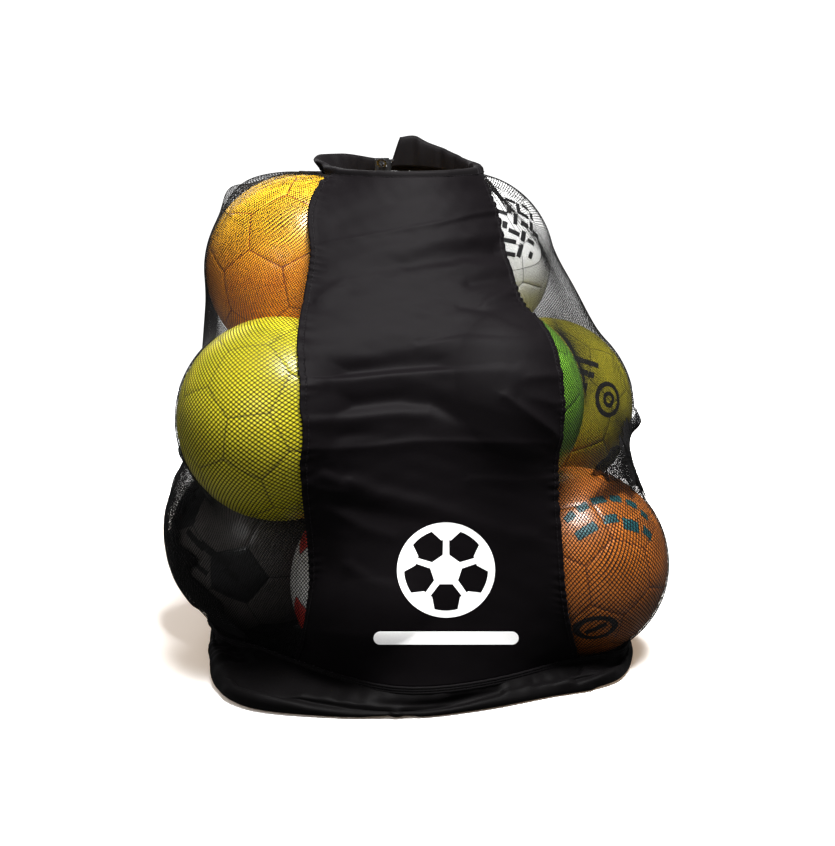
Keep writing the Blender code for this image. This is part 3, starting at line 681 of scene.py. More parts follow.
def sample(grid, level, turn):
    """Bilinear look-up of a (level, turn) grid."""
    x = np.clip(level, 0, 1) * (SKIN_ROWS - 1)
    i = np.minimum(x.astype(int), SKIN_ROWS - 2)
    up = (x - i)[..., None]
    y = np.mod(turn, TAU) / TAU * SKIN_COLS
    j = y.astype(int) % SKIN_COLS
    part = (y - np.floor(y))[..., None]
    k = (j + 1) % SKIN_COLS
    return ((grid[i, j] * (1 - part) + grid[i, k] * part) * (1 - up)
            + (grid[i + 1, j] * (1 - part) + grid[i + 1, k] * part) * up)


def taut_at(level, turn):
    return sample(TAUT, level, turn), unit(sample(TAUT_NORMALS, level, turn))


def loose_at(level, turn):
    return sample(LOOSE, level, turn), unit(sample(LOOSE_NORMALS, level, turn))


# side edges of the front panel: (level, degrees)
EDGE_LEFT = ((0.0, 232.0), (0.04, 238.5), (0.08, 243.0), (0.14, 246.0), (0.30, 249.0),
             (0.425, 252.0), (0.525, 250.5), (0.66, 243.5), (0.81, 236.5), (0.95, 219.0),
             (1.0, 208.0))
EDGE_RIGHT = ((0.0, 319.0), (0.04, 314.0), (0.08, 309.5), (0.14, 307.0), (0.40, 306.0),
              (0.50, 306.5), (0.60, 309.0), (0.71, 311.0), (0.86, 321.0), (0.97, 339.0),
              (1.0, 345.0))


def edge_turn(table, level):
    levels = np.linspace(0, 1, 401)
    degrees = blur(np.interp(levels, *zip(*table)), reach=24, width=7.0, mirror=True)
    return np.radians(np.interp(level, levels, degrees))


# ------------------------------------------------------------------ net: every hole is cut
def index_grid(rows, cols):
    return np.meshgrid(np.arange(rows + 1), np.arange(cols + 1), indexing="ij")


def lattice(name, grid, normals, hole, thick, columns=None):
    """Net of threads through the points of a grid whose indices add up to an even number.

    The threads are closed solids with a ridge on both faces; each cell keeps a four-sided hole.
    `hole` is the open share of a cell and `thick` half the thickness of a thread.
    """
    rows, cols = grid.shape[0] - 1, grid.shape[1] - 1
    first, last = columns or (1, cols - 1)
    i, j = np.meshgrid(np.arange(1, rows), np.arange(first, last + 1), indexing="ij")
    odd = (i + j) % 2 == 1
    i, j = i[odd], j[odd]
    corners = [(i, j - 1), (i - 1, j), (i, j + 1), (i + 1, j)]
    hole = np.broadcast_to(hole, grid.shape[:2])[i, j][:, None]
    ids = [x * (cols + 1) + y for x, y in corners]
    used, index = np.unique(np.concatenate(ids), return_inverse=True)
    index = index.reshape(4, -1)
    lift = (normals.reshape(-1, 3)[used]
            * np.broadcast_to(thick, grid.shape[:2]).reshape(-1)[used][:, None])
    knots = grid.reshape(-1, 3)[used]
    middle = grid[i, j]
    count, cells = len(used), len(i)
    inner = [middle + (grid[corner] - middle) * hole for corner in corners]
    faces = []
    for k in range(4):
        m = (k + 1) % 4
        hole_k = 2 * count + k * cells + np.arange(cells)
        hole_m = 2 * count + m * cells + np.arange(cells)
        faces.append(np.stack([index[k], index[m], hole_m, hole_k], -1))
        faces.append(np.stack([index[m] + count, index[k] + count, hole_k, hole_m], -1))
    # cell sides with no neighbour are closed between the two faces
    start, end = np.concatenate(index), np.concatenate(np.roll(index, -1, 0))
    key = np.minimum(start, end).astype(np.int64) * count + np.maximum(start, end)
    _, where, times = np.unique(key, return_index=True, return_counts=True)
    rim = where[times == 1]
    faces.append(rim_quads(end[rim], start[rim], count))
    verts = np.concatenate([knots + lift, knots - lift] + inner)
    ob = mesh_from(name, verts, np.concatenate(faces), None, [NET])
    assign(ob, "bag", "net")
    return ob


NET_TUCK = 0.008        # radians the net runs in under the panel's edges
NET_HOLE = 0.72


def net_zone(name, low, high, rows, cols, thick, groups):
    """Band of net between two levels, from the panel's right edge round the back to its left."""
    i, j = index_grid(rows, cols)
    level = low + (high - low) * i / rows
    start = edge_turn(EDGE_RIGHT, level) - NET_TUCK
    end = edge_turn(EDGE_LEFT, level) + TAU + NET_TUCK
    turn = start + (end - start) * j / cols
    grid, normals = loose_at(level, turn)
    # stretched net, upper right: finer threads
    off = turn_gap(turn, math.radians(8)) / math.radians(44)
    fine = np.exp(-((level - 0.80) / 0.17) ** 4) * np.exp(-off ** 4)
    cuts = [round(cols * k / groups) for k in range(groups + 1)]
    return [lattice(f"{name}_{k + 1}", grid, normals, NET_HOLE + 0.05 * fine,
                    thick - 0.00007 * fine, (cuts[k] + 1, min(cuts[k + 1], cols - 1)))
            for k in range(groups)]


# stations along a gather: (share of its length, level, degrees, half width in level, in degrees)
GATHER_RIGHT = ((0, 0.340, 9, 0.020, 2.5), (0.22, 0.292, -4, 0.056, 3.0),
                (0.48, 0.282, -16, 0.052, 3.0), (0.75, 0.296, -29, 0.028, 3.0),
                (1, 0.312, -41, 0.006, 2.0))
GATHER_LEFT = ((0, 0.405, 221, 0, 4), (0.12, 0.33, 205, 0, 8), (0.32, 0.262, 193, 0, 10),
               (0.48, 0.200, 184, 0, 9), (0.62, 0.150, 188, 0, 10), (0.76, 0.092, 190, 0, 10),
               (0.90, 0.045, 197, 0, 9), (1, 0.008, 207, 0, 6))


def gather(name, stations, waves, heights, size):
    """Two layers of close standing pleats of the same net along a line on the skin."""
    shares, *columns = np.array(stations, float).T
    index = np.arange(len(shares))
    i, j = index_grid(*size)
    along, across = i / size[0], j / size[1] * 2 - 1
    steps = np.linspace(0, 1, 401)
    soft = blur(np.interp(steps, shares, index), reach=30, width=10.0)
    station = np.interp(along, steps, soft)
    level0, degrees, half_level, half_degrees = (np.interp(station, index, c) for c in columns)
    ragged = 1 + 0.18 * np.sin(23 * along + 2 * np.sin(9 * along)) + 0.10 * np.sin(61 * along)
    level = np.clip(level0 + across * half_level * ragged, 0.002, 1)
    turn = np.radians(degrees + across * half_degrees * ragged)
    skin, normals = loose_at(level, turn)
    taper = np.sin(np.pi * np.clip(along * 0.96 + 0.02, 0, 1)) ** 0.4 * (1 - across ** 6)
    wander = 0.9 * np.sin(7 * along) + 0.4 * np.sin(17 * along)
    ripple = np.abs(np.sin(waves * np.pi * across + wander))
    layers = ((0.0007, heights[0], ripple), (0.0014, heights[1], 1 - ripple))
    for k, (lift, height, wave) in enumerate(layers):
        grid = skin + normals * (lift + height * wave * taper)[..., None]
        facing = np.cross(grid[0, 1] - grid[0, 0], grid[1, 0] - grid[0, 0])
        step = 1 if (facing * normals[0, 0]).sum() > 0 else -1
        lattice(f"{name}_{k + 1}", grid[:, ::step], normals[:, ::step], 0.60, 0.00015)


def build_net():
    # the upper band has fewer columns: there the ring is narrow and the cells keep their width
    # 284 rows in all; the bands overlap by one
    pieces = net_zone("net_mesh", 0.0, 228 / 284, 228, 632, thick=0.00019, groups=7)
    net_zone("net_top", 227 / 284, 1.0, 57, 474, thick=0.00015, groups=2)
    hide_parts("net_right", "net_left")
    # gathered in the hollow at the right, and bunched along the lower left
    gather("net_gather_right", GATHER_RIGHT, waves=4.5, heights=(0.0030, 0.0022), size=(120, 80))
    gather("net_gather_left", GATHER_LEFT, waves=2.5, heights=(0.0030, 0.0018), size=(170, 44))


build_net()

# ------------------------------------------------------------------ front panel with its folds
# Points on the view plane (mm), height (mm), widths above and below the line (mm), strength at
# its start and end, and sharpness where it is not 2.
PANEL_FOLDS = (
    (((-111.5, 52), (-65.5, 52), (-2.5, 58), (47.5, 60), (94.5, 62)), -7.5, 11, 6, 1.0, 0.35),
    (((-105.5, 42), (-52.5, 46), (-2.5, 50), (47.5, 54), (94.5, 58)), 2.6, 4, 8, 1.0, 0.5, 1.5),
    (((-113.5, 14), (-65.5, 18), (-15.5, 23), (12.5, 19), (47.5, 6), (87.5, -4), (122.5, -17)),
     -7.0, 12, 8, 1.0, 0.25),
    (((-113.5, 4), (-65.5, 6), (-22.5, 8), (10.5, 13)), 2.0, 6, 8, 1.0, 0.6),
    (((-111.5, -11), (-77.5, -13), (-37.5, -10)), -2.2, 6, 5, 1.0, 0.2),
    (((-111.5, -26), (-52.5, -24), (-2.5, -18), (72.5, -18), (134.5, -20)),
     1.7, 4, 9, 1.0, 0.8, 1.5),
    (((-113.5, -42), (-92.5, -43), (-75.5, -51)), -6.0, 9, 6, 1.0, 0.5),
    (((-89.5, -43), (-72.5, -57), (-39.5, -71), (10.5, -84), (60.5, -100), (87.5, -110),
      (117.5, -115)), 3.6, 9, 14, 1.0, 0.4),
    (((-111.5, -63), (-92.5, -67), (-73.5, -69)), 2.6, 5, 6, 1.0, 0.3),
    (((-97.5, -77), (-72.5, -83), (-37.5, -91), (2.5, -99)), -3.0, 8, 8, 0.8, 0.2),
    (((-87.5, -85), (-52.5, -105), (-22.5, -114)), 1.8, 6, 7, 1.0, 0.4),
    (((-67.5, -143), (-47.5, -157), (-19.5, -167)), 1.6, 6, 8, 1.0, 0.2),
    (((-117.5, -205), (-82.5, -210), (-51.5, -213)), 2.2, 7, 6, 1.0, 0.3),
    (((-119.5, -225), (-82.5, -229), (-32.5, -232)), -2.6, 8, 6, 1.0, 0.2),
    (((-103.5, 176), (-52.5, 186), (22.5, 200), (54.5, 208), (80.5, 212)),
     1.3, 2.2, 3.4, 0.6, 1.0, 1.4),
    (((22.5, 195), (52.5, 204), (82.5, 208)), -1.8, 4, 4, 0.2, 1.0),
    (((-65.5, 139), (-22.5, 153), (12.5, 162), (44.5, 169), (94.5, 173)), -4.6, 11, 8, 0.25, 1.0),
    (((-87.5, 155), (-37.5, 171), (12.5, 180), (62.5, 187), (87.5, 191)), 1.6, 8, 8, 0.5, 1.0),
    (((-99.5, 123), (-72.5, 141), (-17.5, 151), (52.5, 155), (97.5, 155)), 1.6, 6, 10, 0.8, 0.8),
    (((-77.5, 201), (-37.5, 217), (12.5, 227), (52.5, 233)), -1.8, 9, 9, 0.6, 0.6),
    (((52.5, 139), (72.5, 142), (87.5, 144)), -2.0, 6, 6, 0.8, 0.5),
    (((68.5, 120), (87.5, 129), (102.5, 137)), 2.2, 5, 7, 0.8, 1.0),
    (((42.5, 116), (74.5, 111), (95.5, 101), (118.5, 94)), -3.0, 5, 4, 0.3, 1.0, 1.7),
    (((0.5, 81), (47.5, 90), (72.5, 88), (120.5, 86)), -1.3, 3.5, 3, 0.5, 1.0, 1.5),
    (((0.5, 76), (47.5, 84), (82.5, 82)), 0.9, 4, 6, 0.6, 0.6, 1.5),
    (((95.5, 61), (122.5, 63), (148.5, 56)), -3.4, 7, 7, 0.6, 1.0),
    (((112.5, 46), (130.5, 47), (150.5, 41)), 1.8, 5, 5, 0.5, 1.0),
    (((106.5, 34), (127.5, 35), (152.5, 29)), -3.4, 7, 6, 0.6, 1.0),
    (((112.5, 24), (132.5, 20), (152.5, 14)), 1.4, 4, 5, 0.5, 1.0),
    (((87.5, 27), (104.5, 15), (125.5, -1), (150.5, -20)), 3.0, 4.5, 7, 0.7, 1.0, 1.5),
    (((102.5, 27), (127.5, 12), (152.5, -5)), -3.6, 7, 5, 0.5, 1.0),
    (((112.5, -24), (134.5, -26), (154.5, -30)), -2.4, 5, 5, 0.2, 1.0),
    (((127.5, -55), (142.5, -59), (157.5, -66)), 1.8, 4, 6, 0.4, 1.0),
    (((52.5, -56), (102.5, -57), (142.5, -56)), 0.8, 4, 7, 0.8, 0.6),
    (((-111.5, 120), (-99.5, 118)), -2.2, 5, 5, 1.0, 0.3),
    (((-111.5, 185), (-95.5, 183)), -1.8, 4, 4, 1.0, 0.2),
)
PANEL_FOLD_GAIN = 1.15      # scales every fold of the panel


def skin_reach(points):
    """Directions and distances of points from the skin's centre."""
    offset = points - SKIN_CENTRE
    return unit(offset), np.linalg.norm(offset, axis=-1)


def build_panel():
    rows, cols = ((330, 150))
    i, j = index_grid(rows, cols)
    level, share = i / rows, j / cols
    left, right = edge_turn(EDGE_LEFT, level), edge_turn(EDGE_RIGHT, level)
    turn = left + (right - left) * share
    grid, normals = taut_at(level, turn)
    # the cloth is stiffer than the net, so it spans hollows the net follows
    for _ in range(90):
        old = grid.copy()
        grid[1:-1, 1:-1] = (old[:-2, 1:-1] + old[2:, 1:-1] + old[1:-1, :-2] + old[1:-1, 2:]) / 4
    directions, reach = skin_reach(grid)
    reach = np.maximum(reach, far_ball(directions, CLEAR + 0.0006))
    grid = SKIN_CENTRE + directions * reach[..., None]
    x, y = front_view(grid)
    height = np.zeros(x.shape)
    for entry in PANEL_FOLDS:
        height += PANEL_FOLD_GAIN * fold(x, y, *entry)
    # folds flatten towards the side hems
    width = np.linalg.norm(grid[:, -1] - grid[:, 0], axis=-1)[:, None]
    from_left, from_right = share * width, (1 - share) * width
    height *= 0.30 + 0.70 * np.clip(np.minimum(from_left, from_right) / 0.016, 0, 1) ** 0.8
    height += (0.0009 * soft_noise(level, turn, 14, 10, seed=11)
               + 0.0005 * soft_noise(level, turn * 3, 30, 12, seed=12))
    # hollow along the lower left, where the panel turns in behind its seam (mm on the view plane)
    upper, lower = np.clip((-77 - y) / 40, 0, 1), np.clip((y + 227) / 40, 0, 1)
    height -= 0.006 * np.exp(-((x + 95.5) / 16.0) ** 2) * upper * lower
    # puckers where the side hems gather the cloth
    run = run_length(grid[:, cols // 2])[:, None]
    for distance, phase in ((from_left, 0.0), (from_right, 1.7)):
        wander = 2.2 * np.sin(run * 41 + phase) + 1.6 * np.sin(run * 97 + 2 * phase)
        pucker = np.sin(TAU * run / 0.0105 + wander) * (0.6 + 0.4 * np.sin(run * 60 + phase))
        height += 0.0011 * pucker * np.exp(-(distance / 0.010) ** 2)
        height += 0.0004 * np.exp(-(distance / 0.0060) ** 6)
    ends = np.clip(np.minimum(level, 1 - level) / 0.015, 0, 1)
    grid = grid + normals * (height * ends + 0.0010)[..., None]
    # never let a fold reach a ball; the limit sets in softly
    directions, reach = skin_reach(grid)
    short = far_ball(directions, 0.0024) - reach
    push = 0.0015 * np.log1p(np.exp(np.clip(short / 0.0015, -30, 30)))
    grid = grid + directions * push[..., None]
    sheet("front_panel_cloth", grid, 0.0009, PANEL_CLOTH, "polyester_cloth", "front_panel")
    return grid, grid_normals(grid)


PANEL, PANEL_NORMALS = build_panel()

# section of a turned side hem: (in from the panel's edge, out from the cloth)
HEM_SECTION = ((-0.0016, -0.0014), (-0.0020, -0.0003), (-0.0012, 0.0005), (0.0002, 0.0007),
               (0.0018, 0.0005), (0.0034, 0.0006), (0.0050, 0.0006), (0.0056, 0.0003),
               (0.0059, 0.0000))


def build_side_hems():
    """Turned and stitched side hems of the panel."""
    span = slice(2, len(PANEL) - 4)
    for side, edge, beside, inside in (("left", 0, 1, 5), ("right", -1, -2, -6)):
        line = PANEL[:, edge]
        inward = unit(PANEL[:, inside] - line)
        out = PANEL_NORMALS[:, beside]
        grid = np.stack([line + inward * a + out * b for a, b in HEM_SECTION], 1)
        if side == "right":
            grid = grid[:, ::-1]
        name = f"side_hem_{side}"
        sheet(name, grid[span], 0.0005, PANEL_CLOTH, "binding", f"side_seam_{side}")
        seam = line + inward * 0.0042 + out * 0.0007
        stitches(name + "_thread", seam[span], out[span], 0.0030, 0.0016, 0.00030, lift=0.0002)


build_side_hems()

# ------------------------------------------------------------------ ball emblem on the panel
# The emblem is drawn flat, in mm with y down, on a sheet that the camera's axis meets here. The
# fill and the cuts depend on this layout.
SHEET_AXIS = (417.5, 423.0)
DISC_X, DISC_Y = SHEET_AXIS[0] + 28.5, SHEET_AXIS[1] + 147.0
DISC_R, DISC_FLATTEN = 49.0, 0.97
PENTAGON_R = 18.0           # corners of the middle pentagon
SPOKE_HALF = 3.0            # half width of a spoke
PATCH_DEPTH, RIM_WIDTH = 18.0, 7.0      # in from the disc's edge
BAR_Y, BAR_HALF, BAR_R = SHEET_AXIS[1] + 215.0, 66.0, 6.5
PRINT_GRID = 2.5            # the print is cut this finely to follow the cloth
PRINT_LIFT, PRINT_THICK = 0.00035, 0.00025


def disc_point(radius, degrees, side=0.0):
    c, s = math.cos(math.radians(degrees)), math.sin(math.radians(degrees))
    return (DISC_X + radius * c - side * s, DISC_Y - DISC_FLATTEN * (radius * s + side * c))


def emblem_window(start, end):
    """Opening between the pentagon, two spokes and two rim patches."""
    first, last = np.array(disc_point(PENTAGON_R, start)), np.array(disc_point(PENTAGON_R, end))
    inset = (last - first) / np.linalg.norm(last - first) * 4.0
    patch, rim = DISC_R - PATCH_DEPTH, DISC_R - RIM_WIDTH
    return [tuple(first + inset), tuple(last - inset), disc_point(patch, end, -SPOKE_HALF),
            disc_point(patch, end - 9), disc_point(rim, end - 20),
            *(disc_point(rim, end - 20 - (32 * k / 8)) for k in range(1, 8)),
            disc_point(rim, start + 20), disc_point(patch, start + 9),
            disc_point(patch, start, SPOKE_HALF)]


def emblem_outlines():
    """The disc, its five windows, and a rounded bar below it."""
    outlines = [[disc_point(DISC_R, 2.5 * k) for k in range(144)]]
    outlines += [emblem_window(90 + 72 * k, 162 + 72 * k) for k in range(5)]
    bar = []
    for sign in (1, -1):
        for angle in np.linspace(-sign * math.pi / 2, (1 - sign / 2) * math.pi
                                 if sign < 0 else math.pi / 2, 17):
            bar.append((DISC_X + sign * BAR_HALF + BAR_R * math.cos(angle),
                        BAR_Y + BAR_R * math.sin(angle)))
    return outlines + [bar]


def fill_outlines(outlines):
    """Flat mesh inside closed outlines."""
    curve = bpy.data.curves.new("print_outline", "CURVE")
    curve.dimensions = "2D"
    curve.fill_mode = "BOTH"
    for line in outlines:
        spline = curve.splines.new("POLY")
        spline.points.add(len(line) - 1)
        points = np.array([(x, y, 0.0, 1.0) for x, y in line], np.float32)
        spline.points.foreach_set("co", points.ravel())
        spline.use_cyclic_u = True
    ob = bpy.data.objects.new("print_outline", curve)
    bpy.context.scene.collection.objects.link(ob)
    bpy.context.view_layer.update()
    depsgraph = bpy.context.evaluated_depsgraph_get()
    flat = bpy.data.meshes.new_from_object(ob.evaluated_get(depsgraph))
    bpy.data.objects.remove(ob)
    bpy.data.curves.remove(curve)
    return flat


def build_print():
    tree = BVHTree.FromPolygons([Vector(p) for p in PANEL.reshape(-1, 3)],
                                [tuple(int(k) for k in q) for q in grid_quads(*PANEL.shape[:2])])

    def drop(x, y):
        """Sheet point to a point just above the cloth."""
        sight = (CAM_AHEAD * VIEW_PLANE + np.array([1.0, 0, 0]) * (x - SHEET_AXIS[0])
                 + CAM_UP * (SHEET_AXIS[1] - y))
        place, normal = tree.ray_cast(Vector(CAM_PLACE), Vector(sight).normalized())[:2]
        if normal.dot(Vector(sight)) >= 0:
            normal = -normal
        return np.array(place) + np.array(normal) * PRINT_LIFT

    flat = fill_outlines(emblem_outlines())
    bm = bmesh.new()
    bm.from_mesh(flat)
    bmesh.ops.remove_doubles(bm, verts=bm.verts, dist=0.01)
    half = BAR_HALF + BAR_R
    for axis, low, high in ((0, DISC_X - half, DISC_X + half), (1, DISC_Y - DISC_R, BAR_Y + BAR_R)):
        for cut in np.arange(low + PRINT_GRID, high, PRINT_GRID):
            place, normal = [0.0, 0.0, 0.0], [0.0, 0.0, 0.0]
            place[axis], normal[axis] = float(cut), 1.0
            bmesh.ops.bisect_plane(bm, geom=bm.verts[:] + bm.edges[:] + bm.faces[:],
                                   plane_co=place, plane_no=normal, dist=0.001)
    bmesh.ops.triangulate(bm, faces=[f for f in bm.faces if len(f.verts) > 4])
    for v in bm.verts:
        v.co = drop(v.co.x, v.co.y)
    bm.normal_update()
    # the print faces the camera
    if sum(f.normal.dot(Vector(CAM_AHEAD)) * f.calc_area() for f in bm.faces) > 0:
        bmesh.ops.reverse_faces(bm, faces=bm.faces[:])
    me = bpy.data.meshes.new("front_panel_print")
    bm.to_mesh(me)
    bm.free()
    bpy.data.meshes.remove(flat)
    me.materials.append(PRINT_WHITE)
    ob = bpy.data.objects.new("front_panel_print", me)
    bpy.context.scene.collection.objects.link(ob)
    film = ob.modifiers.new("film", "SOLIDIFY")
    film.thickness = PRINT_THICK
    film.offset = -1
    bpy.context.view_layer.objects.active = ob
    ob.select_set(True)
    bpy.ops.object.modifier_apply(modifier="film")
    ob.select_set(False)
    ob.data.shade_flat()
    assign(ob, "bag", "polyester_cloth")


build_print()

# ------------------------------------------------------------------ base
# columns as in PANEL_FOLDS
BAND_FOLDS = (
    (((-179.5, -258), (-150.5, -266), (-107.5, -279), (-67.5, -287), (-29.5, -290)),
     -8.0, 9, 4, 1.0, 0.7),
    (((-189.5, -267), (-155.5, -277), (-107.5, -286), (-57.5, -291)), 2.0, 5, 6, 1.0, 0.5),
    (((-181.5, -223), (-173.5, -233), (-165.5, -245)), -5.0, 6, 6, 1.0, 0.2),
    (((-161.5, -232), (-127.5, -252), (-87.5, -269)), 2.4, 6, 7, 1.0, 0.5),
    (((-195.5, -232), (-185.5, -245), (-169.5, -253)), 2.8, 6, 6, 1.0, 0.4),
    (((-12.5, -289), (22.5, -284), (52.5, -276), (82.5, -267)), -6.5, 6, 4, 0.8, 0.8),
    (((2.5, -294), (52.5, -286), (112.5, -275), (172.5, -265)), 2.0, 4, 6, 0.6, 1.0),
    (((117.5, -258), (140.5, -254), (160.5, -246)), -6.0, 5, 3.5, 0.6, 1.0),
    (((160.5, -256), (182.5, -247), (200.5, -237)), -6.5, 5, 4, 1.0, 0.8),
    (((142.5, -261), (172.5, -257), (194.5, -249)), 2.0, 4, 5, 0.8, 1.0),
)
BASE_COLS = 960
BASE_TURNS = np.arange(BASE_COLS) * TAU / BASE_COLS


def build_band():
    """Soft band: from the hem over its flat skirt, round the rolled foot and in under the bag."""
    turn = BASE_TURNS
    hem, z, foot = hem_radius(turn), hem_z(turn), ring_at(FOOT, turn)
    wide = np.clip((foot - hem) / 0.06, 0, 1)
    roll = 0.0125 * wide
    stations = (
        (hem + 0.0008, z), (hem + 0.0013, z * 0.86),
        (0.80 * hem + 0.20 * foot + 0.0020, z * 0.74 + 0.2 * roll),
        (0.50 * hem + 0.50 * foot + 0.0015, z * 0.62 + 0.25 * roll),
        (0.22 * hem + 0.78 * foot, 0.0130 + 0.9 * roll),
        (foot - 0.0010 * wide, 0.0125 + roll), (foot + 0.0045, 0.0090 + 0.45 * roll),
        (foot + 0.0040, 0.0045), (foot + 0.0004, 0.0014), (foot - 0.0100, 0.0006),
        (foot - 0.0220, 0.0006), (foot - 0.0360, 0.0008))
    section = np.array([[radius, height + 0 * turn] for radius, height in stations])
    where = np.linspace(0, len(stations) - 1, 89)
    i = np.minimum(where.astype(int), len(stations) - 2)
    part = (where - i)[:, None, None]
    section = blur(section[i] * (1 - part) + section[i + 1] * part, 9, 3.6, mirror=True)
    grid = around(BASE_CENTRE, section[:, 0], turn, section[:, 1])[::-1]    # bottom row first
    normals = grid_normals(grid, True)
    x, y = front_view(grid)
    front = normals @ CAM_AHEAD < 0.25
    height = np.zeros(x.shape)
    for entry in BAND_FOLDS:
        height += np.where(front, fold(x, y, *entry), 0)
    # waves over the middle rows, stronger away from the front
    row = np.linspace(1, 0, len(grid))[:, None]
    middle = np.exp(-((row - 0.36) / 0.20) ** 2)
    back = np.clip(np.abs(turn_gap(turn, math.radians(268))) / math.radians(55) - 0.7, 0, 1)
    wave = (np.sin(17 * turn + 2 * np.sin(4 * turn) + 5 * row) * 0.6
            + np.sin(29 * turn + 1.3) * 0.4)
    height += middle * (0.0006 + 0.0018 * back) * wave
    height += 0.0005 * middle * np.sin(60 * turn + 3 * np.sin(7 * turn))
    grid = grid + normals * height[..., None]
    # nothing goes through the floor
    grid[..., 2] = np.maximum(grid[..., 2], 0.0006 + 0.0004 * (grid[..., 2] < 0.002))
    sheet("base_band_cloth", grid, 0.0008, BAND_CLOTH, "polyester_cloth", "base_band", wrap=True)


def build_hem_binding():
    """Bound hem: three ridges between two stitched grooves."""
    below, above = 0.0066, 0.0016
    turn = BASE_TURNS
    heights = np.linspace(-below, above, 25)
    bulge = 0.0011 + 0.0010 * np.abs(np.sin(np.pi * (heights + below) / (below + above) * 3)) ** 0.6
    bulge[0] = bulge[-1] = 0.0002
    wave = 0.0002 * np.sin(90 * turn + 2 * np.sin(6 * turn))
    grid = np.stack([hem_point(turn, grow=0.0014 + out + wave, z=hem_z(turn) + height)
                     for height, out in zip(heights, bulge)])
    sheet("hem_binding", grid, 0.0008, BINDING, "binding", "base_hem_binding", wrap=True)
    normals = grid_normals(grid, True)
    for name, row in (("hem_thread_low", 8), ("hem_thread_high", 16)):
        line, out = (np.concatenate([a[row], a[row][:1]]) for a in (grid, normals))
        stitches(name, line, out, 0.0032, 0.0014, 0.00032, lift=0.0002)


def build_base_panel():
    """Flat bottom disc whose lip is sewn down over the band's inner edge."""
    turn = BASE_TURNS[::4]
    foot = ring_at(FOOT, turn)
    upper, under_z = [], []
    for share in np.linspace(0.02, 1.0, 24):
        z = 0.0018 + 0.0006 * np.sin(share * 14 + 5 * np.cos(turn)) * (share < 0.95)
        upper.append(around(BASE_CENTRE, (foot - 0.0372) * share, turn, z))
        under_z.append(0.0)
    for inset in (0.0368, 0.0290):
        upper.append(around(BASE_CENTRE, foot - inset, turn, 0.0034))
        under_z.append(0.0026)
    upper = np.array(upper)[::-1]
    under = upper.copy()
    under[..., 2] = np.array(under_z)[::-1, None]
    rings, cols = upper.shape[:2]
    count = rings * cols
    a = np.arange(cols)
    b = (a + 1) % cols
    quads = np.concatenate([grid_quads(rings, cols, True),
                            grid_quads(rings, cols, True, base=count, flip=True),
                            rim_quads(b, a, count)])
    last = count - cols
    middle = np.full(cols, 2 * count)
    tris = np.concatenate([np.stack([middle, last + a, last + b], -1),
                           np.stack([middle + 1, last + b + count, last + a + count], -1)])
    verts = np.concatenate([upper.reshape(-1, 3), under.reshape(-1, 3),
                            [[*BASE_CENTRE, 0.0018], [*BASE_CENTRE, 0.0]]])
    ob = mesh_from("base_panel_cloth", verts, quads, tris, [BAND_CLOTH])
    assign(ob, "bag", "polyester_cloth", "base_panel")


build_band()
build_hem_binding()
build_base_panel()

# ------------------------------------------------------------------ back seam
SEAM_GROOVE = 0.0052        # from the middle of the tape to each line of stitches
# section of the tape: (across, out)
SEAM_SECTION = ((-0.0105, 0.0004), (-0.0098, 0.0016), (-0.0060, 0.0019), (-SEAM_GROOVE, 0.0013),
                (-0.0044, 0.0020), (0.0, 0.0023), (0.0044, 0.0020), (SEAM_GROOVE, 0.0013),
                (0.0060, 0.0019), (0.0098, 0.0016), (0.0105, 0.0004))


def build_back_seam():
    level = np.linspace(0.004, 0.975, 260)
    line, out = loose_at(level, np.full(len(level), math.pi / 2))
    side = unit(np.cross(unit(np.gradient(line, axis=0)), out))
    grid = np.stack([line - side * a + out * (b + 0.0006) for a, b in SEAM_SECTION], 1)
    if (grid_normals(grid)[:, 5] * out).sum() < 0:
        grid = grid[:, ::-1]
    sheet("back_seam_binding", grid, 0.0006, BINDING, "binding", "back_seam_tape")
    for k, across in enumerate((-SEAM_GROOVE, SEAM_GROOVE)):
        stitches(f"back_seam_thread_{k + 1}", line + side * across + out * 0.0022, out,
                 0.0034, 0.0016, 0.00032)


build_back_seam()

# ------------------------------------------------------------------ collar
GAP_TURN, GAP_HALF = math.radians(102.5), math.radians(6.5)     # opening at the back
# upper edge of the collar: (degrees, z)
COLLAR_TOP = ((0, 0.5600), (20, 0.5635), (40, 0.5680), (60, 0.5780), (80, 0.5905), (90, 0.5930),
              (97, 0.5885), (108, 0.5655), (120, 0.5660), (132, 0.5690), (145, 0.5722),
              (156, 0.5732), (168, 0.5710), (180, 0.5665), (192, 0.5620), (215, 0.5590),
              (270, 0.5580), (325, 0.5590), (360, 0.5600))
# section, up the outside, over the top and down the inside: (out from the neck, share of height)
COLLAR_SECTION = ((0.0015, 0.00), (0.0012, 0.10), (0.0010, 0.25), (0.0008, 0.45), (0.0004, 0.65),
                  (-0.0002, 0.82), (-0.0014, 0.93), (-0.0034, 0.985), (-0.0055, 1.0),
                  (-0.0078, 0.985), (-0.0096, 0.93), (-0.0106, 0.82), (-0.0110, 0.6),
                  (-0.0110, 0.35), (-0.0108, 0.12))
# waves round the collar: (count, strength)
COLLAR_WAVES = ((7, 0.9), (11, 1.0), (16, 0.9), (23, 0.7), (31, 0.45), (44, 0.25))


def collar_lean(turn):
    """Outward lean at the left."""
    return 0.018 * np.exp(-(turn_gap(turn, math.radians(172)) / math.radians(22)) ** 2)


def collar_top(turn):
    return np.interp(np.degrees(np.mod(turn, TAU)), *zip(*COLLAR_TOP))


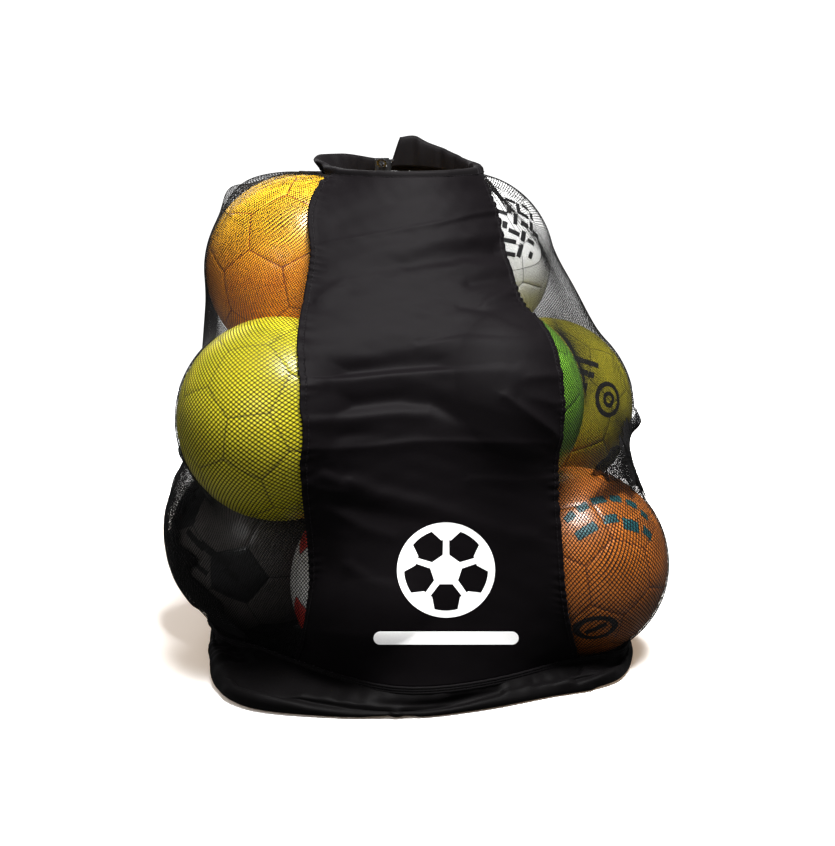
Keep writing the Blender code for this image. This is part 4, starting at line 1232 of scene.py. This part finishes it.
def build_collar():
    turn = np.linspace(GAP_TURN + GAP_HALF, GAP_TURN + TAU - GAP_HALF, 420)
    top = blur(collar_top(turn), reach=8, width=3.2)
    base = neck_z(turn) - 0.004
    section = np.array(COLLAR_SECTION)
    section = rows_at(np.linspace(0, len(section) - 1, 46), np.arange(len(section)), section)
    random = np.random.RandomState(5)
    wave = 0
    for count, strength in COLLAR_WAVES:
        phase = count * turn + random.uniform(0, 6.28)
        wave = wave + strength * np.sin(phase + 1.2 * np.sin(2 * turn + random.uniform(0, 6.28)))
    front = np.clip(-np.sin(turn) * 1.6, 0, 1)
    ruffle = 0.0026 * wave / 2.2 * (1 - 0.80 * front)      # calmer at the front
    # the last 30 degrees slant towards the opening
    end = np.clip(1 - (turn[-1] - turn) / math.radians(30), 0, 1) ** 2
    rows = []
    for out, share in section:
        soft = (1.0 - np.abs(2 * share - 1) ** 3) * 0.5 + 0.5 * share
        outside = 1.0 if out > -0.0055 else 0.7
        grow = out + ruffle * soft * outside + collar_lean(turn) * share
        ripple = 0.0007 * np.sin(13 * turn + 3 * share + 2 * np.sin(4 * turn))
        z = base + (top - base) * share + ripple * share * (1 - front)
        rows.append(neck_point(turn + math.radians(8.5 * (1 - share) - 2.0) * end, grow, z))
    grid = np.array(rows)
    outward = grid[5] - np.array([*NECK_CENTRE, 0.56])
    if (grid_normals(grid)[5] * outward).sum() < 0:
        grid = grid[:, ::-1]
    sheet("collar_cloth", grid, 0.0008, COLLAR_CLOTH, "polyester_cloth", "collar_channel")
    stitches("collar_thread", grid[9], grid_normals(grid)[9], 0.0034, 0.0016, 0.00032)


def build_collar_wing():
    """Lower edge of the collar cloth where it lies out over the net at the upper left."""
    down, side = np.meshgrid(np.linspace(0, 1, 60), np.linspace(-1, 1, 150), indexing="ij")
    depth = 0.012 + 0.110 * np.exp(-(side / 0.50) ** 2) + 0.012 * np.sin(9 * side + 1)
    grid, normals = loose_at(0.990 - depth * down, np.radians(158 + 36 * side))
    ripple = 0.5 + 0.5 * np.sin(22 * side + 2.0 * np.sin(4 * side) + 0.8 * np.sin(3 * down))
    swell = 0.0026 * ripple * np.sin(np.pi * np.clip(down, 0.05, 1)) ** 0.7
    grid = grid + normals * (0.0006 + (0.0006 + swell) * (1 - side ** 8))[..., None]
    facing = np.cross(grid[0, 1] - grid[0, 0], grid[1, 0] - grid[0, 0])
    if (facing * normals[0, 0]).sum() < 0:
        grid = grid[::-1]
    sheet("collar_wing", grid, 0.0006, COLLAR_CLOTH, "polyester_cloth")


build_collar()
build_collar_wing()

# ------------------------------------------------------------------ drawcord
CORD_R = 0.0016
CORD_X, CORD_Z = -0.0400, 0.5612        # middle of the two strands
LOCK_Y = 0.058
STRAND_HALF = 0.0023                    # half the distance between the strands
LOOP_Y = 0.036                          # where the strands start to bend round


def smooth_path(points, count, passes):
    points = np.array(points, float)
    run = run_length(points)
    path = rows_at(np.linspace(0, run[-1], count), run, points)
    for _ in range(passes):
        path[1:-1] = (path[:-2] + 2 * path[1:-1] + path[2:]) / 4
    return path


def braid(name, points, count, passes, radius=CORD_R):
    path = smooth_path(points, count, passes)
    return merge_tubes(name, [tube(path, radius, sides=9, rib=0.09)], CORD)


def build_cord():
    inset = GAP_HALF * 0.72
    turn = np.linspace(GAP_TURN + inset, GAP_TURN + TAU - inset, 160)
    # inside the channel; it drops to the foot of the tall lobe before it comes out of the gap
    drop = np.clip((np.degrees(turn) - (360 + 62)) / 26.0, 0, 1)
    drop = drop * drop * (3 - 2 * drop)
    z = (collar_top(turn) - 0.0046) * (1 - drop) + 0.5622 * drop
    ring = neck_point(turn, -0.0050 + 0.7 * collar_lean(turn), z)
    assign(braid("drawcord_ring", ring, 700, 2), "bag", "cord", "drawcord")
    # the two tails come out of the gap and turn forward, across the pull joint
    exit_y = NECK_CENTRE[1] + NECK_RY * math.sin(GAP_TURN) - 0.0150
    tails = []
    for start, side in ((ring[0], -1), (ring[-1], 1)):
        tails.append([start, [CORD_X + side * (STRAND_HALF + 0.002), exit_y + 0.008, CORD_Z + 0.001],
                      [CORD_X + side * STRAND_HALF, exit_y, CORD_Z]])
    points = [tails[1][2]]
    points += [[CORD_X + STRAND_HALF, LOCK_Y + off, CORD_Z] for off in (0.012, -0.010)]
    for k in range(17):
        angle = math.pi * k / 16
        rise = math.sin(angle)
        spread = STRAND_HALF + 0.0042 * rise ** 0.5
        points.append([CORD_X - 0.001 * rise + spread * math.cos(angle), LOOP_Y - 0.010 * rise,
                       CORD_Z + 0.0078 * rise])
    points += [[CORD_X - STRAND_HALF, LOCK_Y + off, CORD_Z] for off in (-0.010, 0.012)]
    points.append(tails[0][2])
    loop = braid("drawcord_loop_braid", points, 420, 3)
    assign(loop, "cord_loop", "cord", "drawcord_loop")
    for k, line in enumerate(tails):
        ob = braid(f"drawcord_tail_{k + 1}", line, 60, 6, radius=CORD_R * 0.99)
        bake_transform(ob)


build_cord()

# ------------------------------------------------------------------ strap
STRAP_HALF = 0.0190             # half the webbing's width
STRAP_THICK = 0.0014            # of the CAD webbing
STRAP_TOP_Z = 0.5715            # the upper webbing is cut off here
STRAP_FOOT_Z = 0.040            # below this the lower webbing has its own path
OUT_OF_REACH = 9                # larger than any distance in the bag


def strap_middle(node):
    """Middle x of a CAD webbing, and its centre line (y, z) between its two faces."""
    points = cad_points(node)
    middle_x = (points[:, 0].min() + points[:, 0].max()) / 2
    points = np.unique(np.round(points[points[:, 0] < middle_x], 6), axis=0)
    used, middles = set(), []
    # pair each point with the one that lies across the webbing's thickness
    for i in range(len(points)):
        if i in used:
            continue
        distance = np.linalg.norm(points - points[i], axis=1)
        distance[[i, *used]] = OUT_OF_REACH
        miss = np.abs(distance - STRAP_THICK) + (distance > 0.003) * OUT_OF_REACH
        j = int(np.argmin(miss))
        used.update((i, j))
        middles.append((points[i] + points[j]) / 2)
    middles = np.array(middles)[:, 1:]
    # chain them from the rearmost point to the nearest left
    order = [int(np.argmax(middles[:, 0 + 0]))] if False else [int(np.argmax(middles[:, 1]))]
    while len(order) < len(middles):
        distance = np.linalg.norm(middles - middles[order[-1]], axis=1)
        distance[order] = OUT_OF_REACH
        order.append(int(np.argmin(distance)))
    return middle_x, middles[order]


def trim_upper(line):
    """Ends the line at STRAP_TOP_Z."""
    if line[0, 2] < STRAP_TOP_Z:
        return line[line[:, 2] < STRAP_TOP_Z]
    share = (line[0, 2] - STRAP_TOP_Z) / (line[0, 2] - line[1, 2])
    return np.concatenate([[line[0] + (line[1] - line[0]) * share], line[1:]])


def trim_lower(line, middle_x):
    """Runs the line downwards and sews its foot down over the hem binding."""
    hem_y = float(hem_point(np.array([math.acos(middle_x / 0.285)]))[0, 1])
    if line[0, 2] <= line[-1, 2]:
        line = line[::-1]
    foot = [[0, hem_y + 0.0085, 0.0310], [0, hem_y + 0.0054, 0.0230], [0, hem_y + 0.0052, 0.0140]]
    return np.concatenate([line[line[:, 2] > STRAP_FOOT_Z], foot])


def lay_over_balls(line, middle_x):
    """Pushes the line back, over the net and the balls it covers."""
    for centre in CENTRES.values():
        gap = max(0.0, abs(middle_x - centre[0]) - STRAP_HALF)
        square = (BALL_R + 0.0026) ** 2 - gap ** 2 - (line[:, 2] - centre[2]) ** 2
        over = np.where(square > 0, centre[1] + np.sqrt(np.maximum(square, 0)), 0)
        line[:, 1] = np.maximum(line[:, 1], over)
    padded = np.pad(line[:, 1], 4, mode="edge")
    line[:, 1] = np.convolve(padded, np.ones(9) / 9, mode="valid")


def build_webbing(part):
    node, name = f"strap_webbing_{part}", f"strap_{part}_webbing"
    middle_x, line = strap_middle(node)
    line = np.c_[np.zeros(len(line)), line]
    line = trim_upper(line) if part == "upper" else trim_lower(line, middle_x)
    line = smooth_path(line, 260, 5)
    if part == "lower":
        lay_over_balls(line, middle_x)
    tangent = unit(np.gradient(line, axis=0))
    out = np.stack([np.zeros(len(line)), -tangent[:, 2], tangent[:, 1]], -1)
    middle = len(line) // 2
    if out[middle, 1] < 0:
        out = -out
    across = np.linspace(STRAP_HALF, -STRAP_HALF, 39)
    # ribs along the webbing and a thicker selvedge
    lift = (0.0002 + 0.00018 * np.cos(across / 0.0012 * np.pi)
            + 0.00035 * np.exp(-((STRAP_HALF - np.abs(across)) / 0.0012) ** 2))
    offset = np.stack([middle_x + across, 0 * across, 0 * across], -1)
    grid = line[:, None] + offset + out[:, None] * lift[:, None]
    if (grid_normals(grid)[middle, 19] * out[middle]).sum() < 0:
        grid = grid[:, ::-1]
    sheet(name, grid, 0.0011, WEBBING, "webbing", node)
    # sewn end: a box of stitches with one diagonal
    span = 22
    first = 6 if part == "upper" else len(line) - 8 - span
    box = [(first, 5), (first, 33), (first + span, 33), (first + span, 5), (first, 5),
           (first + span, 33)]
    rows, cols = [], []
    for (row0, col0), (row1, col1) in zip(box, box[1:]):
        for k in range(24):
            share = k / 24
            rows.append(int(row0 + (row1 - row0) * share))
            cols.append(int(col0 + (col1 - col0) * share))
    stitches(name + "_thread", grid[rows, cols], grid_normals(grid)[rows, cols],
             0.0026, 0.0012, 0.0003, slot="webbing")


build_webbing("upper")
build_webbing("lower")


# ------------------------------------------------------------------ balls
def sorted_round(points, centre):
    """Points in order of angle about a centre, counted from the first one."""
    axis = unit(points[0] - centre * (points[0] @ centre))
    other = np.cross(centre, axis)
    return sorted(points, key=lambda q: math.atan2(q @ other, q @ axis))


def truncated_icosahedron():
    """Corners of the 12 five-sided panels, then of the 20 six-sided ones."""
    golden = (1 + 5 ** 0.5) / 2
    tips = []
    for a in (-1, 1):
        for b in (-golden, golden):
            tips += [(0, a, b), (a, b, 0), (b, 0, a)]
    tips = unit(np.array(tips, float))
    distance = np.linalg.norm(tips[:, None] - tips[None], axis=-1)
    side = distance[distance > 0.1].min()
    near = (distance > 0.1) & (distance < side * 1.1)
    cut = {(i, j): tips[i] + (tips[j] - tips[i]) / 3
           for i in range(12) for j in range(12) if near[i, j]}
    panels = [sorted_round([cut[(i, j)] for j in range(12) if near[i, j]], tips[i])
              for i in range(12)]
    for i in range(12):
        for j in range(i + 1, 12):
            for k in range(j + 1, 12):
                if near[i, j] and near[j, k] and near[i, k]:
                    points = [cut[(i, j)], cut[(j, i)], cut[(j, k)], cut[(k, j)], cut[(k, i)],
                              cut[(i, k)]]
                    panels.append(sorted_round(points, unit(sum(points))))
    return panels


PANELS = truncated_icosahedron()


def ball_arrays(steps):
    """Unit ball cut into 32 panels: directions, seam distance (radians), panel of each face, faces."""
    verts, seams, panels, faces = [], [], [], []
    for panel, corners in enumerate(PANELS):
        corners = [unit(np.array(q)) for q in corners]
        middle = unit(sum(corners))
        for a, b in zip(corners, corners[1:] + corners[:1]):
            index = {}
            seam_normal = unit(np.cross(a, b))
            for i in range(steps + 1):
                for j in range(steps + 1 - i):
                    k = steps - i - j
                    inward = i / steps
                    row = max(steps - i, 1)
                    point = unit(middle * inward + (a * (j / row) + b * (k / row)) * (1 - inward))
                    index[(i, j)] = len(verts)
                    verts.append(point)
                    off = max(-1, min(1, float(point @ seam_normal)))
                    seams.append(abs(math.asin(off)))
                    panels.append(panel)
            for i in range(steps):
                for j in range(steps - i):
                    faces.append((index[(i, j)], index[(i + 1, j)], index[(i, j + 1)]))
                    if j < steps - i - 1:
                        faces.append((index[(i + 1, j)], index[(i + 1, j + 1)], index[(i, j + 1)]))
    verts, faces = np.array(verts), np.array(faces)
    # weld the points that panels share
    key = np.round(verts * 20000).astype(np.int64)
    _, first, inverse = np.unique(key, axis=0, return_index=True, return_inverse=True)
    face_panel = np.array(panels)[faces[:, 0]]
    verts, seams, faces = verts[first], np.array(seams)[first], inverse.ravel()[faces]
    a, b, c = (verts[faces[:, k]] for k in range(3))
    flip = (np.cross(b - a, c - a) * a).sum(1) < 0
    faces[flip] = faces[flip][:, ::-1]
    return verts, seams, face_panel, faces


def rotation(seed):
    w, x, y, z = unit(np.random.RandomState(seed).normal(size=4))
    return np.array([[1 - 2 * (y * y + z * z), 2 * (x * y - z * w), 2 * (x * z + y * w)],
                     [2 * (x * y + z * w), 1 - 2 * (x * x + z * z), 2 * (y * z - x * w)],
                     [2 * (x * z - y * w), 2 * (y * z + x * w), 1 - 2 * (x * x + y * y)]])


def ball_material(name, dark, light, seam, painted_top_light=None):
    """Grained coated skin, darker in the seams (the seams' own dark line plus painted shade in their
    grooves); the last argument is painted light: (colour, z where it starts, z when full) of a paler
    colour painted over the top of the ball, where the light from above falls.
    """
    g = Shader(name, rough=0.42)
    base = g.ramp(g.noise(scale=38.0, detail=4.0, rough=0.6), (0.30, dark), (0.70, light))
    # painted light: the colour turns paler towards the top of the ball
    if painted_top_light:
        base = g.mix(g.smooth_range(g.axis(2), painted_top_light[1], painted_top_light[2]), base, painted_top_light[0])
    distance = g.node("ShaderNodeAttribute", attribute_name="seam").outputs["Fac"]
    # the seams are darker: their own dark line plus painted shade in their grooves
    seam_line_and_shade = g.smooth_range(distance, 0.0002, 0.0012, to_low=1.0, to_high=0.0)
    g.color(g.mix(seam_line_and_shade, base, seam))
    grain = g.node("ShaderNodeTexVoronoi", feature="F1")
    g.put(grain.inputs["Vector"], g.place)
    grain.inputs["Scale"].default_value = 900.0
    g.bump(grain.outputs["Distance"], strength=0.25, distance=0.0002)
    g.set(Coat_Weight=0.35, Coat_Roughness=0.20)
    return g.mat


# (dark, light, seam) colours; the seam colour is the seams' own dark line plus painted shade in their
# grooves
BALL_LOOK = {
    "ball_orange_top": ((0.80, 0.245, 0.010), (0.92, 0.340, 0.016), (0.30, 0.070, 0.006)),
    "ball_yellow_left": ((0.64, 0.575, 0.013), (0.73, 0.650, 0.020), (0.24, 0.200, 0.010)),
    "ball_black_white": ((0.090, 0.082, 0.078), (0.135, 0.122, 0.114), (0.03, 0.03, 0.03)),
    "ball_white_red": ((0.60, 0.58, 0.56), (0.70, 0.68, 0.66), (0.20, 0.19, 0.18)),
    "ball_white_top": ((0.76, 0.76, 0.75), (0.88, 0.88, 0.87), (0.30, 0.30, 0.30)),
    "ball_yellow_right": ((0.30, 0.265, 0.014), (0.37, 0.325, 0.020), (0.12, 0.105, 0.008)),
    "ball_green": ((0.120, 0.300, 0.022), (0.170, 0.380, 0.032), (0.04, 0.11, 0.008)),
    "ball_orange_low": ((0.360, 0.112, 0.012), (0.450, 0.145, 0.018), (0.13, 0.035, 0.006)),
    "ball_white_back": ((0.74, 0.70, 0.69), (0.84, 0.80, 0.79), (0.30, 0.28, 0.27)),
    "ball_blue_back": ((0.030, 0.085, 0.330), (0.045, 0.120, 0.430), (0.01, 0.03, 0.12)),
    "ball_white_core": ((0.68, 0.68, 0.67), (0.78, 0.78, 0.77), (0.25, 0.25, 0.25)),
}
BLACK_SLOT, RED_SLOT = 1, 2
FIVE_SIDED = list(range(12))
# panels of another colour: (panel numbers, material slot)
BALL_PATCHES = {
    "ball_black_white": (FIVE_SIDED + [14, 20, 27], BLACK_SLOT),
    "ball_white_red": (FIVE_SIDED, RED_SLOT),
    "ball_white_core": (FIVE_SIDED, BLACK_SLOT),
}
HIDDEN_BALLS = ("ball_white_core", "ball_blue_back")    # these get the coarse mesh


def build_balls():
    fine, coarse = ((ball_arrays(17), ball_arrays(8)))
    black = ball_material("ball_panel_black", (0.012, 0.012, 0.013), (0.022, 0.022, 0.023),
                          seam=(0.004, 0.004, 0.004))
    red = ball_material("ball_panel_red", (0.40, 0.020, 0.012), (0.52, 0.030, 0.016),
                        seam=(0.12, 0.01, 0.01))
    casings = {}
    for k, name in enumerate(BALLS):
        verts, seams, panels, faces = coarse if name in HIDDEN_BALLS else fine
        distance = seams * BALL_R
        groove = 0.0009 * np.exp(-(distance / 0.0012) ** 1.6)
        dome = 0.0003 * (1 - np.exp(-distance / 0.010))
        radius = BALL_R - 0.0004 - groove + dome
        points = verts @ rotation(100 + k).T * radius[:, None] + CENTRES[name]
        painted_top_light = None
        if name == "ball_orange_top":
            # painted light: the top of this ball is painted a warmer, paler colour, where the light
            # from above falls
            z = CENTRES[name][2]
            painted_top_light = ((0.90, 0.52, 0.020), z - 0.01, z + 0.085)
        mats = [ball_material(name + "_look", *BALL_LOOK[name], painted_top_light=painted_top_light), black, red]
        patches, slot = BALL_PATCHES.get(name, ([], 0))
        face_mat = np.isin(panels, patches) * slot
        ob = mesh_from(name + "_casing", points, None, faces, mats, face_mat)
        attribute = ob.data.attributes.new("seam", "FLOAT", "POINT")
        attribute.data.foreach_set("value", distance.astype(np.float32))
        assign(ob, name, name + "_skin", name)
        casings[name] = (points, faces)
        set_material(name + "_valve", RUBBER)
    return casings


def set_material(node, mat):
    """Gives a CAD piece that stays one material."""
    NODES[node].data.materials.clear()
    NODES[node].data.materials.append(mat)


CASINGS = build_balls()


# ------------------------------------------------------------------ prints on the balls
def ball_print(ball, name, mat, patches, facing, tilt=0.0):
    """Printed patches that follow a ball's surface. A patch is four corners (mm) in the plane that
    touches the ball on its `facing` side."""
    points, faces = CASINGS[ball]
    tree = BVHTree.FromPolygons([Vector(p) for p in points], [tuple(int(i) for i in f) for f in faces])
    out = unit(np.array(facing, float))
    x = unit(np.cross(np.array([0.0, 0.0, 1.0]), out))
    y = np.cross(out, x)
    c, s = math.cos(math.radians(tilt)), math.sin(math.radians(tilt))
    x, y = x * c + y * s, y * c - x * s
    centre = CENTRES[ball]
    verts, quads = [], []
    for patch in patches:
        q = np.array(patch, float) / 1000.0
        span = max(np.linalg.norm(q[k + 1] - q[k]) for k in range(3))
        steps = max(2, int(span / 0.0035))
        base = len(verts)
        for i in range(steps + 1):
            for j in range(steps + 1):
                a, b = i / steps, j / steps
                flat = (q[0] * (1 - a) + q[1] * a) * (1 - b) + (q[3] * (1 - a) + q[2] * a) * b
                ray = unit(out * BALL_R + x * flat[0] + y * flat[1])
                hit = tree.ray_cast(Vector(centre), Vector(ray))[0]
                # a ray that slips between two faces takes the plain radius
                radius = (Vector(hit) - Vector(centre)).length if hit is not None else BALL_R
                verts.append(centre + ray * (radius + 0.00025))
        quads.append(grid_quads(steps + 1, steps + 1, base=base)[:, [0, 3, 2, 1]])
    ob = mesh_from(name, np.array(verts), np.concatenate(quads), None, [mat])
    assign(ob, ball, ball + "_skin")


def block(x, y, width, height, degrees=0.0):
    c, s = math.cos(math.radians(degrees)), math.sin(math.radians(degrees))
    return [(x + u * width / 2 * c - v * height / 2 * s, y + u * width / 2 * s + v * height / 2 * c)
            for u, v in ((-1, -1), (1, -1), (1, 1), (-1, 1))]


def ring(x, y, radius, width, count):
    """Circle of short blocks."""
    patches = []
    for k in range(count):
        start, end = math.radians(360 * k / count), math.radians(360 * (k + 1) / count)
        inner, outer = radius - width / 2, radius + width / 2
        patches.append([(x + r * math.cos(angle), y + r * math.sin(angle))
                        for r, angle in ((inner, start), (outer, start), (outer, end), (inner, end))])
    return patches


def blocks(table):
    return [block(*row) for row in table]


def scaled(patches, scale_x, scale_y):
    return [[(x * scale_x, y * scale_y) for x, y in patch] for patch in patches]


# blocks in mm: (x, y, width, height, degrees where turned)
SCATTERED = ((-14, 30, 14, 5), (-4, 25, 5, 12), (8, 32, 12, 6), (16, 24, 6, 12), (2, 17, 16, 5),
             (-16, 16, 6, 12), (-24, 8, 12, 5), (-8, 6, 5, 14), (4, 5, 10, 6), (14, 8, 5, 12),
             (22, 2, 10, 6), (-20, -6, 6, 8), (-8, -10, 14, 5), (4, -9, 6, 12), (16, -10, 10, 5),
             (-28, -16, 8, 6), (-14, -22, 22, 5, 12), (4, -26, 6, 16), (-10, -36, 20, 5, 14),
             (20, -24, 6, 8))
BARS = ((-18, 44, 50, 8, -22), (-26, 29, 42, 8, -22), (-34, 14, 32, 8, -22))
TWO_ROWS = ((-44, 5, 13, 8, 26), (-28, 12, 12, 8, 18), (-11, 17, 14, 8, 8), (7, 18, 12, 8, -4),
            (24, 14, 13, 8, -16), (38, 5, 11, 8, -28), (-32, -12, 24, 9, 22), (-6, -3, 14, 8, 6),
            (14, -9, 18, 11, -12), (35, -15, 15, 9, -30))
SLANTED = ((-26, 20, 40, 8, -28), (6, 6, 46, 9, -28), (-18, -12, 30, 7, -28), (28, -16, 22, 8, -34))


def print_balls():
    ink = hard("ball_ink_black", (0.010, 0.010, 0.011), (0.018, 0.018, 0.019), rough=0.45)
    matt = hard("ball_ink_black_matt", (0.006, 0.006, 0.006), (0.012, 0.012, 0.012), rough=0.5)
    teal = hard("ball_ink_teal", (0.010, 0.070, 0.080), (0.016, 0.100, 0.110), rough=0.45)
    ball_print("ball_white_top", "ball_white_top_print", ink,
               scaled(blocks(SCATTERED), 1.22, 1.22), (0.60, -0.64, 0.44), tilt=-30)
    # bars and a target
    ball_print("ball_yellow_right", "ball_yellow_right_print", ink,
               blocks(BARS) + ring(12, -8, 19, 6, 26) + ring(12, -8, 7.5, 5, 14),
               (0.55, -0.75, 0.30), tilt=-6)
    ball_print("ball_orange_low", "ball_orange_low_print", teal,
               scaled(blocks(TWO_ROWS), 1.3, 1.3), (0.36, -0.62, 0.66), tilt=-8)
    # barred oval
    ball_print("ball_orange_low", "ball_orange_low_oval", ink,
               scaled(ring(0, 0, 15, 5.5, 26), 1.5, 1) + [block(0, 0, 26, 6, 28)],
               (0.17, -0.88, -0.42))
    ball_print("ball_black_white", "ball_black_white_print", matt, blocks(SLANTED),
               (-0.45, -0.86, 0.05))


print_balls()

# ------------------------------------------------------------------ hardware
for piece in ("cord_lock_body", "cord_lock_plunger", "strap_slider"):
    set_material(piece, PLASTIC)

SPRING_WIRE_R, SPRING_TURNS = 0.00024, 3.75


def build_spring():
    """Coil spring under the button, at the length of the CAD spring."""
    points = cad_points("cord_lock_spring")
    low, high = points.min(0), points.max(0)
    x, y, _ = (low + high) / 2
    radius = (high[0] - low[0]) / 2 - SPRING_WIRE_R - 0.0001
    share = np.linspace(0, 1, 260)
    # the end coils lie flat
    rise = np.clip((share - 0.10) / 0.80, 0, 1)
    z = low[2] + SPRING_WIRE_R + (high[2] - low[2] - 2 * SPRING_WIRE_R) * rise
    path = around((x, y), radius, TAU * SPRING_TURNS * share, z)
    ob = merge_tubes("cord_lock_coil", [tube(path, SPRING_WIRE_R, sides=8)], STEEL)
    assign(ob, "cord_lock", "spring_steel", "cord_lock_spring")
    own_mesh(ob)


build_spring()


# ------------------------------------------------------------------ stage, light, camera
def floor_material():
    g = Shader("studio_floor", rough=0.9, spec=0.1)
    pale = g.ramp(g.noise(scale=1.2, detail=2.0), (0.3, (0.90, 0.895, 0.885)),
                  (0.7, (0.93, 0.925, 0.92)))
    # pale to the camera, dark to the light it would bounce
    seen = g.node("ShaderNodeLightPath").outputs["Is Camera Ray"]
    g.color(g.mix(seen, (0.10, 0.10, 0.10), pale))
    # the floor glows brighter away from the bag, so it runs into the white backdrop; close to the bag
    # it glows weakly in a warm colour, stronger behind than in front, which is a painted warm shadow
    distance = g.node("ShaderNodeVectorMath", operation="LENGTH")
    g.put(distance.inputs[0], g.place)
    far = g.smooth_range(distance.outputs["Value"], 0.38, 0.95)
    behind = g.smooth_range(g.axis(1), -0.26, -0.04, to_low=0.05, to_high=0.24)
    # painted warm shadow: near the bag the glow is this warm colour, which lightens and tints the
    # bag's cast shadow
    g.put(g.inputs["Emission Color"], g.mix(far, (1.0, 0.72, 0.48), (1.0, 1.0, 1.0)))
    glow = g.math("MULTIPLY_ADD", far, 0.90, behind)
    g.put(g.inputs["Emission Strength"], g.math("MULTIPLY", seen, glow))
    return g.mat


def build_floor():
    rings, sides, z = 34, 96, -0.0002
    mat = floor_material()
    radii = np.linspace(0.05, 1.7, rings)[:, None]
    grid = around((0.0, 0.0), radii, np.arange(sides) * TAU / sides, z)
    verts = np.concatenate([grid.reshape(-1, 3), [[0.0, 0.0, z]]])
    tris = [(rings * sides, k, (k + 1) % sides) for k in range(sides)]
    mesh_from("studio_floor", verts, grid_quads(rings, sides, True, flip=True), tris, [mat])


def area_light(name, place, target, size, power):
    light = bpy.data.lights.new(name, "AREA")
    light.shape = "RECTANGLE"
    light.size, light.size_y = size
    light.energy = power
    ob = bpy.data.objects.new(name, light)
    ob.location = place
    ob.rotation_euler = (Vector(target) - Vector(place)).to_track_quat("-Z", "Y").to_euler()
    bpy.context.scene.collection.objects.link(ob)


def build_world():
    """White to the camera, dim as a light."""
    world = bpy.data.worlds.new("studio_world")
    bpy.context.scene.world = world
    world.use_nodes = True
    tree = world.node_tree
    background = tree.nodes["Background"]
    background.inputs[0].default_value = (1, 1, 1, 1)
    path = tree.nodes.new("ShaderNodeLightPath")
    strength = tree.nodes.new("ShaderNodeMapRange")
    tree.links.new(path.outputs["Is Camera Ray"], strength.inputs[0])
    strength.inputs[3].default_value = 0.24
    strength.inputs[4].default_value = 1.0
    tree.links.new(strength.outputs[0], background.inputs[1])


def build_camera():
    camera = bpy.data.cameras.new("camera")
    camera.lens = CAM_LENS
    camera.sensor_width = CAM_SENSOR
    ob = bpy.data.objects.new("camera", camera)
    ob.location = CAM_PLACE
    ob.rotation_euler = Vector(CAM_AHEAD).to_track_quat("-Z", "Y").to_euler()
    scene = bpy.context.scene
    scene.collection.objects.link(ob)
    scene.camera = ob
    scene.view_settings.view_transform = "Standard"
    scene.view_settings.look = "Medium High Contrast"


build_floor()
area_light("key_softbox", place=(0.35, -0.80, 2.40), target=(0, 0.0, 0.33), size=(0.9, 0.8),
           power=192)
area_light("fill_front", place=(-1.1, -2.6, 1.5), target=(0, 0, 0.30), size=(1.4, 1.0), power=26)
area_light("fill_back", place=(-0.9, 2.4, 1.5), target=(0, 0.1, 0.28), size=(1.6, 1.2), power=16)
build_world()
build_camera()
